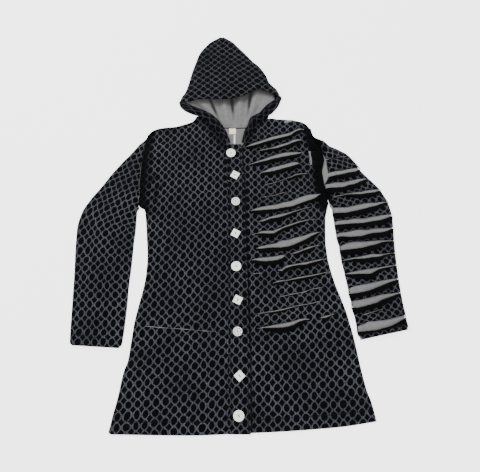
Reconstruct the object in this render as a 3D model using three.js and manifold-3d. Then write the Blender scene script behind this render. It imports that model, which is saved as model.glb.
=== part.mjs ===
// A long hooded coat, buttoned up and laid flat on its back.
// Millimetres. +X runs to the wearer's left, +Y to the hood, +Z up from the surface it lies on.
// The layers lie on each other: back, back lining, fronts, button band, buttons.
import * as THREE from 'three';
import { mergeVertices } from 'three/addons/utils/BufferGeometryUtils.js';
import Module from 'manifold-3d';

const wasm = await Module();
wasm.setup();

// Thickness of each cloth
const KNIT = 1.5; // printed cotton knit alone
const FLEECE = 1.2; // lining fleece alone
const BONDED = 2.8; // knit and fleece together, where no lining shows
const BAND = 2.0; // folded button band
const SEAM = 0.3; // room between pieces that are sewn or lie together

// Heights of the layers, each one's top worked out from the one below
const BACK_TOP = 1.6;
const BACK_LINING_FOOT = BACK_TOP + SEAM;
const BACK_LINING_TOP = BACK_LINING_FOOT + FLEECE;
const FRONT_FOOT = BACK_LINING_TOP + SEAM;
const PLAIN_TOP = FRONT_FOOT + BONDED;
const LINING_TOP = FRONT_FOOT + FLEECE;
const SLASHED_TOP = LINING_TOP + SEAM + KNIT;
const BAND_TOP = SLASHED_TOP + SEAM + BAND;
const BUTTON_FOOT = BAND_TOP + SEAM;

// How far the flat back pieces stop inside the rolled outline
const BACK_INSET = 6.2;
const SLASHED_SLEEVE_INSET = 10;
const LINING_SLACK = 0.8; // room that the sleeve lining has inside the slashed sleeve's folds
const HOOD_ROLL = 9; // radius of the soft fold round the hood's outline
const HOOD_INSET = 6;

// Colours of the finishes
const PRINTED = { color: 0x16181c, roughness: 0.85, metalness: 0 };
const GREY_FLEECE = { color: 0x8c8c90, roughness: 0.95, metalness: 0 };
const BONE = { color: 0xeceae4, roughness: 0.35, metalness: 0 };
const LABEL_CLOTH = { color: 0xe6e2bc, roughness: 0.8, metalness: 0 };

// Body outline on the wearer's right (left in plan), from the hem up to the shoulder point
const RIGHT_SIDE = [
  { y: -576, x: -313 }, { y: -550, x: -309 }, { y: -497, x: -298 }, { y: -440, x: -289 },
  { y: -411, x: -280 }, { y: -360, x: -275 }, { y: -319, x: -271 }, { y: -278, x: -263 },
  { y: -244, x: -255 }, { y: -201, x: -249 }, { y: -168, x: -248 }, { y: -96, x: -254 },
  { y: -43, x: -260 }, { y: -10, x: -266 }, { y: 4, x: -281 }, { y: 52, x: -282 },
  { y: 108, x: -281 }, { y: 163, x: -278 }, { y: 222, x: -270 },
];
// Body outline on the wearer's left (right in plan)
const LEFT_SIDE = [
  { y: -544, x: 327 }, { y: -510, x: 320 }, { y: -482, x: 311 }, { y: -425, x: 300 },
  { y: -367, x: 291 }, { y: -306, x: 279 }, { y: -244, x: 260 }, { y: -212, x: 249 },
  { y: -179, x: 241 }, { y: -146, x: 235 }, { y: -113, x: 232 }, { y: -60, x: 234 },
  { y: -10, x: 238 }, { y: 4, x: 246 }, { y: 52, x: 240 }, { y: 108, x: 230 },
  { y: 150, x: 226 }, { y: 218, x: 213 }, { y: 246, x: 208 },
];
const ARMPIT_Y = 4;
// The flat back stays inside the fronts' rolled sides up to here, then meets the armhole seams
const RIGHT_ARMPIT_INSET = [{ x: -257, y: -18 }, { x: -262, y: 4 }, { x: -272, y: 16 }, { x: -281.8, y: 22 }];
const LEFT_ARMPIT_INSET = [{ x: 230, y: -18 }, { x: 233, y: 4 }, { x: 237, y: 16 }, { x: 243.4, y: 22 }];

// Top edge of each front: the shoulder, then the neck edge down to the button band
const RIGHT_TOP = [
  { x: -270, y: 222 }, { x: -255, y: 237 }, { x: -183, y: 259 }, { x: -139, y: 279 },
  { x: -124, y: 283 }, { x: -98, y: 277 }, { x: -82, y: 264 }, { x: -66, y: 242 },
  { x: -54, y: 222 }, { x: -44, y: 203 }, { x: -36, y: 191 }, { x: -28, y: 188 },
];
const LEFT_TOP = [
  { x: -26, y: 188 }, { x: 5, y: 190 }, { x: 13, y: 206 }, { x: 25, y: 233 },
  { x: 34, y: 251 }, { x: 48, y: 264 }, { x: 64, y: 275 }, { x: 80, y: 283 },
  { x: 110, y: 284 }, { x: 148, y: 281 }, { x: 177, y: 276 }, { x: 197, y: 264 },
  { x: 208, y: 246 },
];
// The shoulder rolls down to the floor outside these places and stays up on the neck edge
const RIGHT_NECK_SIDE = -139;
const LEFT_NECK_SIDE = 110;
const NECK_BLEND = 12;

// Hem line across both fronts
const HEM = [
  { x: -313, y: -576 }, { x: -119, y: -580 }, { x: 43, y: -578 }, { x: 246, y: -563 },
  { x: 327, y: -544 },
];

// Button band: its sewn edge and its free edge
const BAND_EDGES = [
  { y: -580, seam: -26, free: 26 }, { y: -435, seam: -28, free: 25 },
  { y: -260, seam: -30, free: 21 }, { y: -96, seam: -32, free: 16 },
  { y: 82, seam: -35, free: 11 }, { y: 196, seam: -38, free: 4 },
];
const BAND_LAP = 8; // how far the band lies over the plain front

// Soft folds in the fronts, each a ridge along a line
const PLAIN_FOLDS = [
  { fromX: -262, fromY: 205, toX: -262, toY: 40, reach: 16, height: 5 },
  { fromX: -245, fromY: -5, toX: -150, toY: 60, reach: 26, height: 4 },
  { fromX: -150, fromY: 190, toX: -120, toY: -120, reach: 45, height: 3 },
  { fromX: -225, fromY: -60, toX: -120, toY: -110, reach: 24, height: 3 },
  { fromX: -205, fromY: -350, toX: -238, toY: -575, reach: 30, height: 5 },
  { fromX: -110, fromY: -330, toX: -125, toY: -578, reach: 34, height: 4 },
];
const SLASHED_FOLDS = [
  { fromX: 197, fromY: 240, toX: 214, toY: 90, reach: 15, height: 7 },
  { fromX: 160, fromY: -340, toX: 176, toY: -560, reach: 20, height: 5 },
  { fromX: 100, fromY: -330, toX: 96, toY: -570, reach: 30, height: 3 },
  { fromX: 245, fromY: -330, toX: 282, toY: -548, reach: 26, height: 5 },
];

// Rips of the slashed front, from the hem up. Rips that share a line lie end to end.
const FRONT_RIPS = [
  { line: 1, fromX: 37, fromY: -334, midX: 98, midY: -327, toX: 182, toY: -309, gap: 14, widest: 0.45 },
  { line: 1, fromX: 212, fromY: -305, midX: 228, midY: -300, toX: 250, toY: -294, gap: 6, widest: 0.4 },
  { line: 2, fromX: 83, fromY: -217, midX: 157, midY: -201, toX: 236, toY: -184, gap: 6, widest: 0.4 },
  { line: 3, fromX: 100, fromY: -180, midX: 158, midY: -165, toX: 232, toY: -148, gap: 9, widest: 0.3 },
  { line: 4, fromX: 29, fromY: -152, midX: 75, midY: -151, toX: 122, toY: -139, gap: 14, widest: 0.4 },
  { line: 4, fromX: 152, fromY: -133, midX: 188, midY: -118, toX: 222, toY: -109, gap: 6, widest: 0.5 },
  { line: 5, fromX: 44, fromY: -120, midX: 132, midY: -108, toX: 223, toY: -72, gap: 22, widest: 0.45 },
  { line: 6, fromX: 23, fromY: -81, midX: 99, midY: -69, toX: 217, toY: -34, gap: 10, widest: 0.5 },
  { line: 7, fromX: 51, fromY: -42, midX: 115, midY: -23, toX: 205, toY: 3, gap: 8, widest: 0.35 },
  { line: 8, fromX: 28, fromY: -11, midX: 116, midY: 6, toX: 225, toY: 40, gap: 16, widest: 0.7 },
  { line: 9, fromX: 51, fromY: 101, midX: 100, midY: 120, toX: 172, toY: 134, gap: 17, widest: 0.6 },
  { line: 10, fromX: 22, fromY: 130, midX: 80, midY: 149, toX: 184, toY: 169, gap: 14, widest: 0.55 },
  { line: 11, fromX: 46, fromY: 171, midX: 122, midY: 190, toX: 182, toY: 210, gap: 12, widest: 0.6 },
  { line: 12, fromX: 20, fromY: 189, midX: 143, midY: 227, toX: 190, toY: 245, gap: 13, widest: 0.5 },
];
// Rips of the slashed sleeve, from the cuff up
const SLEEVE_RIPS = [
  { line: 1, fromX: 298, fromY: -334, midX: 335, midY: -328, toX: 424, toY: -303, gap: 19, widest: 0.75 },
  { line: 2, fromX: 290, fromY: -271, midX: 354, midY: -262, toX: 422, toY: -240, gap: 16, widest: 0.4 },
  { line: 3, fromX: 283, fromY: -237, midX: 332, midY: -229, toX: 420, toY: -204, gap: 18, widest: 0.45 },
  { line: 4, fromX: 281, fromY: -190, midX: 326, midY: -185, toX: 416, toY: -168, gap: 14, widest: 0.35 },
  { line: 5, fromX: 274, fromY: -153, midX: 314, midY: -148, toX: 417, toY: -134, gap: 11, widest: 0.35 },
  { line: 6, fromX: 270, fromY: -119, midX: 298, midY: -114, toX: 417, toY: -98, gap: 20, widest: 0.35 },
  { line: 7, fromX: 263, fromY: -83, midX: 319, midY: -79, toX: 417, toY: -61, gap: 15, widest: 0.55 },
  { line: 8, fromX: 260, fromY: -48, midX: 327, midY: -42, toX: 419, toY: -24, gap: 13, widest: 0.5 },
  { line: 9, fromX: 258, fromY: -10, midX: 314, midY: 0, toX: 408, toY: 16, gap: 16, widest: 0.45 },
  { line: 10, fromX: 262, fromY: 32, midX: 317, midY: 39, toX: 395, toY: 54, gap: 10, widest: 0.65 },
  { line: 11, fromX: 252, fromY: 66, midX: 298, midY: 71, toX: 357, toY: 87, gap: 14, widest: 0.4 },
  { line: 12, fromX: 250, fromY: 98, midX: 301, midY: 107, toX: 340, toY: 115, gap: 13, widest: 0.45 },
];
const RIP_PUFF = 4; // how far a strip stands up between two rips
const LIP_RISE = 0.35; // how far a rip's lower lip stands up for its gap
const BAND_COVER = 46; // how far the band covers the slashed front from its hidden edge
const SMALLEST_GAP = 1.2; // a rip is closed where it is narrower than this

// Outer edge of the slashed sleeve, from the cuff up to the shoulder point
const LEFT_SLEEVE_OUTER = [
  { y: -336, x: 432 }, { y: -322, x: 430 }, { y: -260, x: 423 }, { y: -196, x: 419 },
  { y: -129, x: 418 }, { y: -61, x: 420 }, { y: -26, x: 421 }, { y: -8, x: 418 },
  { y: 28, x: 410 }, { y: 46, x: 402 }, { y: 65, x: 384 }, { y: 83, x: 370 },
  { y: 102, x: 356 }, { y: 121, x: 342 }, { y: 140, x: 329 }, { y: 159, x: 317 },
  { y: 179, x: 292 }, { y: 192, x: 263 }, { y: 214, x: 240 }, { y: 219, x: 224 },
  { y: 228, x: 212 },
];
// Inner edge of the slashed sleeve: below the armpit a fold, above it the armhole seam
const LEFT_SLEEVE_INNER = [
  { y: -362, x: 303 }, { y: -337, x: 298 }, { y: -306, x: 295 }, { y: -275, x: 289 },
  { y: -244, x: 284 }, { y: -212, x: 281 }, { y: -179, x: 275 }, { y: -146, x: 270 },
  { y: -113, x: 267 }, { y: -78, x: 261 }, { y: -43, x: 258 }, { y: -8, x: 255 },
  { y: 4, x: 247 }, { y: 52, x: 241 }, { y: 108, x: 231 }, { y: 150, x: 227 },
  { y: 218, x: 213.5 }, { y: 228, x: 211 },
];
// The rip that runs along the armhole shows the sleeve's lining
const ARMHOLE_RIP = { fromY: 63, toY: 151, gap: 16 };
const LEFT_SLEEVE_PLAIN_ROWS = [
  { innerY: 143, outerY: 160 }, { innerY: 176, outerY: 183 }, { innerY: 200, outerY: 203 },
  { innerY: 214, outerY: 218 }, { innerY: 221, outerY: 221.5 },
];
const LEFT_CUFF = { innerY: -362, outerY: -335 };

// Sections of the plain sleeve from the armhole seam to the cuff
const RIGHT_SLEEVE = [
  { outerX: -270.5, outerY: 222, innerX: -282.6, innerY: 6 },
  { outerX: -306, outerY: 179, innerX: -285, innerY: -20 },
  { outerX: -338, outerY: 140, innerX: -285, innerY: -60 },
  { outerX: -366, outerY: 102, innerX: -287, innerY: -100 },
  { outerX: -390, outerY: 64, innerX: -288, innerY: -140 },
  { outerX: -417, outerY: 26, innerX: -289, innerY: -175 },
  { outerX: -438, outerY: -16, innerX: -291, innerY: -205 },
  { outerX: -446, outerY: -62, innerX: -292, innerY: -235 },
  { outerX: -444, outerY: -120, innerX: -292, innerY: -262 },
  { outerX: -440, outerY: -180, innerX: -293, innerY: -290 },
  { outerX: -437, outerY: -240, innerX: -294, innerY: -316 },
  { outerX: -434, outerY: -310, innerX: -296, innerY: -347 },
  { outerX: -431, outerY: -374, innerX: -299, innerY: -382 },
];
const SLEEVE_PUFF = 5;
const LINING_PUFF_SHARE = 0.85;
const LINED_PLAIN_ROWS = 2; // the lining ends below the sleeve's head
const PUFF_MARGIN = 14; // a sleeve's edges stay low for this far
// Where the plain sleeve's cloth stands up in soft folds that run across it
const RIGHT_SLEEVE_FOLDS = [
  { fromX: -300, fromY: 150, toX: -298, toY: -10, reach: 18, height: 5 },
  { fromX: -330, fromY: 90, toX: -305, toY: -110, reach: 20, height: 4 },
  { fromX: -420, fromY: -30, toX: -330, toY: -110, reach: 22, height: 4 },
  { fromX: -425, fromY: -190, toX: -330, toY: -230, reach: 20, height: 3 },
];

// Hood outline on both sides, from the tip down to the corners of its opening
const HOOD_RIGHT_OUTLINE = [
  { x: -57, y: 582 }, { x: -76, y: 574 }, { x: -93, y: 563 }, { x: -113, y: 540 },
  { x: -128, y: 516 }, { x: -136, y: 490 }, { x: -148, y: 449 }, { x: -158, y: 405 },
  { x: -166, y: 380 }, { x: -178, y: 356 }, { x: -181, y: 342 },
];
const HOOD_LEFT_OUTLINE = [
  { x: -57, y: 582 }, { x: -38, y: 574 }, { x: -21, y: 562 }, { x: -2, y: 540 },
  { x: 19, y: 516 }, { x: 38, y: 492 }, { x: 60, y: 469 }, { x: 80, y: 436 },
  { x: 91, y: 407 }, { x: 112, y: 386 }, { x: 124, y: 358 },
];
const CROWN_SEAM = { topX: -57, topY: 582, footX: -45, footY: 337 };
// Upper edge of the opening on both sides of the crown seam
const OPENING_RIGHT = [
  { x: -181, y: 342 }, { x: -157, y: 336 }, { x: -125, y: 341 }, { x: -89, y: 339 },
  { x: -45, y: 337 },
];
const OPENING_LEFT = [
  { x: -45, y: 337 }, { x: -5, y: 345 }, { x: 19, y: 355 }, { x: 39, y: 368 },
  { x: 57, y: 379 }, { x: 76, y: 374 }, { x: 92, y: 368 }, { x: 104, y: 360 },
  { x: 124, y: 358 },
];
const TIP_ROOM = 1.2; // half the room between the crown's halves at the tip
const CROWN_RISE = 20; // how far the crown stands above its rolled sides at the opening
// Rolled lower edge of the hood's opening, from its corner to the button band
const EDGE_RIGHT = [
  { innerX: -171, innerY: 336.5, footX: -183, footY: 338, footZ: 0, crest: 12.5 },
  { innerX: -160, innerY: 333, footX: -180, footY: 330, footZ: 0, crest: 15 },
  { innerX: -131, innerY: 320, footX: -166, footY: 314, footZ: 0, crest: 16 },
  { innerX: -101, innerY: 306, footX: -136, footY: 298, footZ: 2, crest: 17 },
  { innerX: -80, innerY: 292, footX: -106, footY: 285, footZ: 7.3, crest: 18 },
  { innerX: -65, innerY: 277, footX: -90, footY: 266, footZ: 7.3, crest: 18 },
  { innerX: -51, innerY: 257, footX: -74, footY: 246, footZ: 7.3, crest: 17 },
  { innerX: -42, innerY: 240, footX: -62, footY: 230, footZ: 7.3, crest: 16 },
  { innerX: -35, innerY: 224, footX: -53, footY: 214, footZ: 7.3, crest: 14 },
  { innerX: -28, innerY: 200, footX: -42, footY: 198.5, footZ: 7.3, crest: 12 },
];
const EDGE_LEFT = [
  { innerX: 113, innerY: 354, footX: 127, footY: 353, footZ: 0, crest: 12.5 },
  { innerX: 103, innerY: 346, footX: 122, footY: 346, footZ: 0, crest: 15 },
  { innerX: 90, innerY: 336, footX: 114, footY: 328, footZ: 0, crest: 16 },
  { innerX: 72, innerY: 319, footX: 96, footY: 304, footZ: 2, crest: 17 },
  { innerX: 60, innerY: 303, footX: 84, footY: 292, footZ: 7.3, crest: 18 },
  { innerX: 46, innerY: 294, footX: 68, footY: 279, footZ: 7.3, crest: 18 },
  { innerX: 31, innerY: 283, footX: 52, footY: 268, footZ: 7.3, crest: 17 },
  { innerX: 22, innerY: 257, footX: 38, footY: 247, footZ: 7.3, crest: 16 },
  { innerX: 12, innerY: 236, footX: 29, footY: 229, footZ: 7.3, crest: 14 },
  { innerX: 5, innerY: 200, footX: 16, footY: 198.5, footZ: 7.3, crest: 12 },
];
const EDGE_LIP = 12; // height of the opening's free edge
const NECKLINE = [
  { x: -112, y: 264 }, { x: -100, y: 258 }, { x: -60, y: 252 }, { x: -12, y: 250 },
  { x: 40, y: 254 }, { x: 74, y: 262 }, { x: 82, y: 270 },
];
// Hood lining: its side edges lie under the opening's rolled edges, then under the crown
const HOOD_LINING_ROWS = [
  { y: 250.5, right: -57, left: 29, sides: 3.1 }, { y: 262, right: -62, left: 33, sides: 5 },
  { y: 280, right: -76, left: 40, sides: 7 }, { y: 296, right: -94, left: 58, sides: 8 },
  { y: 310, right: -117, left: 70, sides: 8 }, { y: 326, right: -150, left: 86, sides: 7.5 },
  { y: 345, right: -164, left: 104, sides: 5 }, { y: 372, right: -154, left: 104, sides: 3.1 },
  { y: 410, right: -140, left: 76, sides: 3.1 }, { y: 450, right: -130, left: 56, sides: 3.1 },
];
const NECKLINE_LOW = 250;
const LINING_FOLDS = [
  { fromX: -58, fromY: 262, toX: -108, toY: 340, reach: 17, height: 7 },
  { fromX: -30, fromY: 254, toX: -44, toY: 370, reach: 15, height: 10 },
  { fromX: -4, fromY: 254, toX: 2, toY: 375, reach: 15, height: 9 },
  { fromX: 18, fromY: 264, toX: 46, toY: 380, reach: 17, height: 9 },
];

// Label and its hanging loop below the neck seam
const LABEL = { x: -22, y: 239, width: 20, height: 19, thickness: 0.5 };
const LOOP = { x: -16, y: 213, width: 7, height: 28, thickness: 0.6 };

// Buttons down the band. turn is the square ones' angle in degrees.
const BUTTONS = [
  { x: -26, y: 167, shape: 'round', across: 28, turn: 0 },
  { x: -14, y: 97, shape: 'square', across: 22, turn: 60 },
  { x: -12, y: 16, shape: 'carved', across: 25, turn: 0 },
  { x: -12, y: -78, shape: 'square', across: 22, turn: -27 },
  { x: -10, y: -170, shape: 'round', across: 28, turn: 0 },
  { x: -6, y: -260, shape: 'square', across: 22, turn: -27 },
  { x: -6, y: -341, shape: 'carved', across: 25, turn: 0 },
  { x: -1, y: -449, shape: 'square', across: 22, turn: 43 },
  { x: -3, y: -541, shape: 'round', across: 28, turn: 0 },
];
const BUTTON_THICK = 3.4;
const BUTTON_DISH = 0.9;
const THREAD_HOLE = 2.4;
const HOLE_PITCH = 5;

const mix = (a, b, t) => a + (b - a) * t;
const clamp01 = (t) => Math.min(1, Math.max(0, t));
const smooth = (t) => clamp01(t) ** 2 * (3 - 2 * clamp01(t));

// Reads one named column of a table where another column has a value
function read(table, by, value, column) {
  if (value <= table[0][by]) return table[0][column];
  for (let i = 1; i < table.length; i += 1) {
    if (value <= table[i][by]) {
      const t = (value - table[i - 1][by]) / (table[i][by] - table[i - 1][by]);
      return mix(table[i - 1][column], table[i][column], t);
    }
  }
  return table[table.length - 1][column];
}

// Height that a list of soft folds adds at a place
function foldHeight(folds, x, y) {
  let height = 0;
  for (const fold of folds) {
    const alongX = fold.toX - fold.fromX;
    const alongY = fold.toY - fold.fromY;
    const length = Math.hypot(alongX, alongY);
    const t = clamp01(((x - fold.fromX) * alongX + (y - fold.fromY) * alongY) / length ** 2);
    const off = Math.hypot(x - fold.fromX - alongX * t, y - fold.fromY - alongY * t);
    const taper = 0.35 + 0.65 * Math.sin(Math.PI * t);
    if (off < fold.reach) height += fold.height * taper * (1 + Math.cos((Math.PI * off) / fold.reach)) / 2;
  }
  return height;
}

// Makes a closed wall from rows of points on its outer face. A cell that is cut is left open.
function clothWall(rows, thickness, isCut = () => false) {
  const points = [];
  const known = new Map();
  const idOf = (point) => {
    const key = point.toArray().map((value) => Math.round(value * 500)).join();
    if (!known.has(key)) {
      known.set(key, points.length);
      points.push(point);
    }
    return known.get(key);
  };
  const grid = rows.map((row) => row.map(idOf));
  let faces = [];
  for (let r = 0; r + 1 < grid.length; r += 1) {
    for (let c = 0; c + 1 < grid[r].length; c += 1) {
      if (isCut(r, c)) continue;
      const corners = [grid[r][c], grid[r][c + 1], grid[r + 1][c + 1], grid[r + 1][c]];
      faces.push([corners[0], corners[1], corners[2]], [corners[0], corners[2], corners[3]]);
    }
  }
  faces = faces.filter((face) => new Set(face).size === 3);
  const normals = points.map(() => new THREE.Vector3());
  const addNormals = () => {
    normals.forEach((normal) => normal.set(0, 0, 0));
    for (const [a, b, c] of faces) {
      const ab = points[b].clone().sub(points[a]);
      const ac = points[c].clone().sub(points[a]);
      const cross = ab.cross(ac);
      for (const id of [a, b, c]) normals[id].add(cross);
    }
  };
  addNormals();
  if (normals.reduce((sum, normal) => sum + normal.z, 0) < 0) {
    faces = faces.map(([a, b, c]) => [a, c, b]);
    addNormals();
  }
  // A wall's foot on the floor is level
  normals.forEach((normal, id) => {
    if (points[id].z < 0.01) normal.z = 0;
    normal.normalize();
  });
  const count = points.length;
  const inner = points.map((point, id) => point.clone().addScaledVector(normals[id], -thickness));
  const edges = new Set();
  for (const [a, b, c] of faces) for (const [i, j] of [[a, b], [b, c], [c, a]]) edges.add(`${i},${j}`);
  const triangles = [];
  for (const [a, b, c] of faces) {
    triangles.push([a, b, c], [a + count, c + count, b + count]);
    for (const [i, j] of [[a, b], [b, c], [c, a]]) {
      if (!edges.has(`${j},${i}`)) triangles.push([j, i, i + count], [j, i + count, j + count]);
    }
  }
  const used = new Set(triangles.flat());
  const kept = new Map([...used].map((id, place) => [id, place]));
  const all = [...points, ...inner];
  const geometry = new THREE.BufferGeometry();
  const positions = [...used].flatMap((id) => all[id].toArray());
  geometry.setAttribute('position', new THREE.Float32BufferAttribute(positions, 3));
  geometry.setIndex(triangles.flat().map((id) => kept.get(id)));
  return geometry;
}

// Columns across a panel: those of a rolled edge stand close together, the rest evenly.
// Each has its place (a distance from an end, or a share between) and its share of full height.
const ROLL_STEPS = [0, 30, 60, 90].map((degrees) => THREE.MathUtils.degToRad(degrees));
function columnsAcross(count, rollAtStart, rollAtEnd) {
  const columns = [];
  if (rollAtStart) for (const a of ROLL_STEPS) columns.push({ start: 1 - Math.cos(a), up: Math.sin(a) });
  else columns.push({ start: 0, up: 1 });
  for (let i = 1; i < count; i += 1) columns.push({ share: i / count, up: 1 });
  if (rollAtEnd) for (const a of [...ROLL_STEPS].reverse()) columns.push({ end: 1 - Math.cos(a), up: Math.sin(a) });
  else columns.push({ end: 0, up: 1 });
  return columns;
}

// Places one row's columns between its two ends, with rolls of the given radius.
// A slant over 1 widens a roll where the row meets its edge at an angle.
function placeColumns(columns, startX, endX, radius, startSlant = 1, endSlant = 1) {
  const sign = Math.sign(endX - startX);
  const room = Math.abs(endX - startX);
  const startRoll = Math.min(radius * startSlant, room / 3);
  const endRoll = Math.min(radius * endSlant, room / 3);
  return columns.map((column) => {
    if (column.start !== undefined) return startX + sign * startRoll * column.start;
    if (column.end !== undefined) return endX - sign * endRoll * column.end;
    return mix(startX + sign * startRoll, endX - sign * endRoll, column.share);
  });
}

const WIDEST_SLANT = 2.5;
// How much longer a row's roll is than its true width, from the edge's lean and the row's slope
function slantAt(edge, y, slope) {
  const lean = (read(edge, 'y', y + 3, 'x') - read(edge, 'y', y - 3, 'x')) / 6;
  return Math.min(WIDEST_SLANT, Math.hypot(1, lean) / Math.max(0.1, Math.abs(1 - slope * lean)));
}

// Finds where a row that is given as y over x meets an edge that is given as x over y
function meet(rowAt, edge, guess) {
  let y = guess;
  for (let i = 0; i < 12; i += 1) y = mix(y, rowAt(read(edge, 'y', y, 'x')), 0.7);
  return { x: read(edge, 'y', y, 'x'), y };
}

// The lines that rips lie on, as rows: each gives y over x and the gap over x
function ripLines(rips) {
  const lines = [];
  for (const rip of rips) {
    const line = lines[rip.line - 1] ?? { path: [], rips: [] };
    line.path.push({ x: rip.fromX, y: rip.fromY }, { x: rip.midX, y: rip.midY }, { x: rip.toX, y: rip.toY });
    line.rips.push(rip);
    lines[rip.line - 1] = line;
  }
  return lines.map(({ path, rips: own }) => {
    const first = path[0];
    const last = path[path.length - 1];
    const slope = (last.y - first.y) / (last.x - first.x);
    const rowAt = (x) => {
      if (x < first.x) return first.y + slope * 0.6 * (x - first.x);
      if (x > last.x) return last.y + slope * 0.6 * (x - last.x);
      return read(path, 'x', x, 'y');
    };
    const gapAt = (x) => {
      for (const rip of own) {
        const t = (x - rip.fromX) / (rip.toX - rip.fromX);
        if (t <= 0 || t >= 1) continue;
        const turn = t < rip.widest ? t / rip.widest : (1 - t) / (1 - rip.widest);
        const gap = rip.gap * Math.sin((Math.PI / 2) * turn);
        if (gap > SMALLEST_GAP) return gap;
      }
      return 0;
    };
    return { rowAt, gapAt };
  });
}

const nodes = [];
function addNode(name, geometry, finish) {
  nodes.push({ name, geometry, finish });
}

// Flat plate of an outline, from one height up
function plate(outline, foot, thickness) {
  const shape = new THREE.Shape(outline.map(({ x, y }) => new THREE.Vector2(x, y)));
  const geometry = new THREE.ExtrudeGeometry(shape, { depth: thickness, bevelEnabled: false });
  geometry.translate(0, 0, foot);
  return geometry;
}

// Moves a path sideways, to the left of its run when by is positive
function offsetPath(path, by) {
  return path.map(({ x, y }, i) => {
    const before = path[Math.max(0, i - 1)];
    const after = path[Math.min(path.length - 1, i + 1)];
    const inWay = new THREE.Vector2(x - before.x, y - before.y).normalize();
    const outWay = new THREE.Vector2(after.x - x, after.y - y).normalize();
    const way = inWay.clone().add(outWay).normalize();
    const stretch = Math.max(0.5, way.dot(i ? inWay : outWay));
    return { x: x - (way.y * by) / stretch, y: y + (way.x * by) / stretch };
  });
}

// Back and its lining: both sides' outline up to the armpit, armhole seams, shoulders, neckline
function backOutline() {
  const half = (side, inwards, armpit) => [
    ...offsetPath(side.filter((point) => point.y < -20), inwards * BACK_INSET),
    ...armpit,
    ...offsetPath(side.filter((point) => point.y > 40), inwards * SEAM / 2),
  ];
  const right = half(RIGHT_SIDE, -1, RIGHT_ARMPIT_INSET);
  const left = half(LEFT_SIDE, 1, LEFT_ARMPIT_INSET);
  right[right.length - 1] = { x: -268.5, y: 213 };
  left[left.length - 1] = { x: 207, y: 237 };
  const hem = HEM.slice(1, -1).map(({ x, y }) => ({ x, y: y + 1 }));
  const rightShoulder = [{ x: -253, y: 230 }, { x: -181, y: 252 }, { x: -136, y: 272 }, { x: -118, y: 266 }];
  const leftShoulder = [
    { x: 194, y: 258 }, { x: 175, y: 269.5 }, { x: 147, y: 274.5 }, { x: 112, y: 276 }, { x: 96, y: 272 },
  ];
  const neck = NECKLINE.map(({ x, y }) => ({ x, y: y - SEAM }));
  return [...hem, ...left, ...leftShoulder, ...neck.reverse(), ...rightShoulder.reverse(), ...right.reverse()];
}

// Rows of the plain front: straight rows between the hem and the top edge
const PLAIN_LEVELS = [
  0, 0.03, 0.09, 0.16, 0.23, 0.31, 0.39, 0.47, 0.55, 0.63, 0.69, 0.718, 0.737, 0.78, 0.84, 0.9, 0.95,
];
const SHOULDER_ROLL = [...ROLL_STEPS].reverse();

// Height of a front's wall near its rolled shoulder: full on the neck edge
function shoulderShare(x, neckSide, angle) {
  const outside = Math.sign(neckSide) * (x - neckSide);
  return mix(1, Math.sin(angle), smooth((outside + NECK_BLEND) / NECK_BLEND));
}

// Height share at a rolled side: full above the armpit, where the sleeve is sewn on
const sideShare = (up, y, armpit) => mix(up, 1, smooth((y - armpit + 6) / 12));

function plainFront() {
  const columns = columnsAcross(12, true, false);
  const bandX = (y) => read(BAND_EDGES, 'y', y, 'seam') + BAND_LAP;
  const row = (level, drop, angle) => {
    const sideY = mix(RIGHT_SIDE[0].y, RIGHT_SIDE[RIGHT_SIDE.length - 1].y, level) - drop * 0.6;
    const startX = read(RIGHT_SIDE, 'y', sideY, 'x');
    const endX = bandX(mix(HEM[1].y, 188, level));
    return placeColumns(columns, startX, endX, PLAIN_TOP, slantAt(RIGHT_SIDE, sideY, 0)).map((x, i) => {
      const y = mix(read(HEM, 'x', x, 'y'), read(RIGHT_TOP, 'x', x, 'y'), level) - drop;
      const side = sideShare(columns[i].up, sideY, ARMPIT_Y);
      const share = Math.min(side, shoulderShare(x, RIGHT_NECK_SIDE, angle));
      const fade = smooth((x - startX) / 40) * smooth((endX - x) / 60) * smooth(drop ? 0 : (1 - level) * 12);
      const lift = foldHeight(PLAIN_FOLDS, x, y) * Math.max(fade, 0);
      return new THREE.Vector3(x, y, PLAIN_TOP * share + lift);
    });
  };
  const rows = PLAIN_LEVELS.map((level) => row(level, 0, Math.PI / 2));
  for (const angle of SHOULDER_ROLL) rows.push(row(1, PLAIN_TOP * (1 - Math.cos(angle)), angle));
  return clothWall(rows, BONDED);
}

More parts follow.
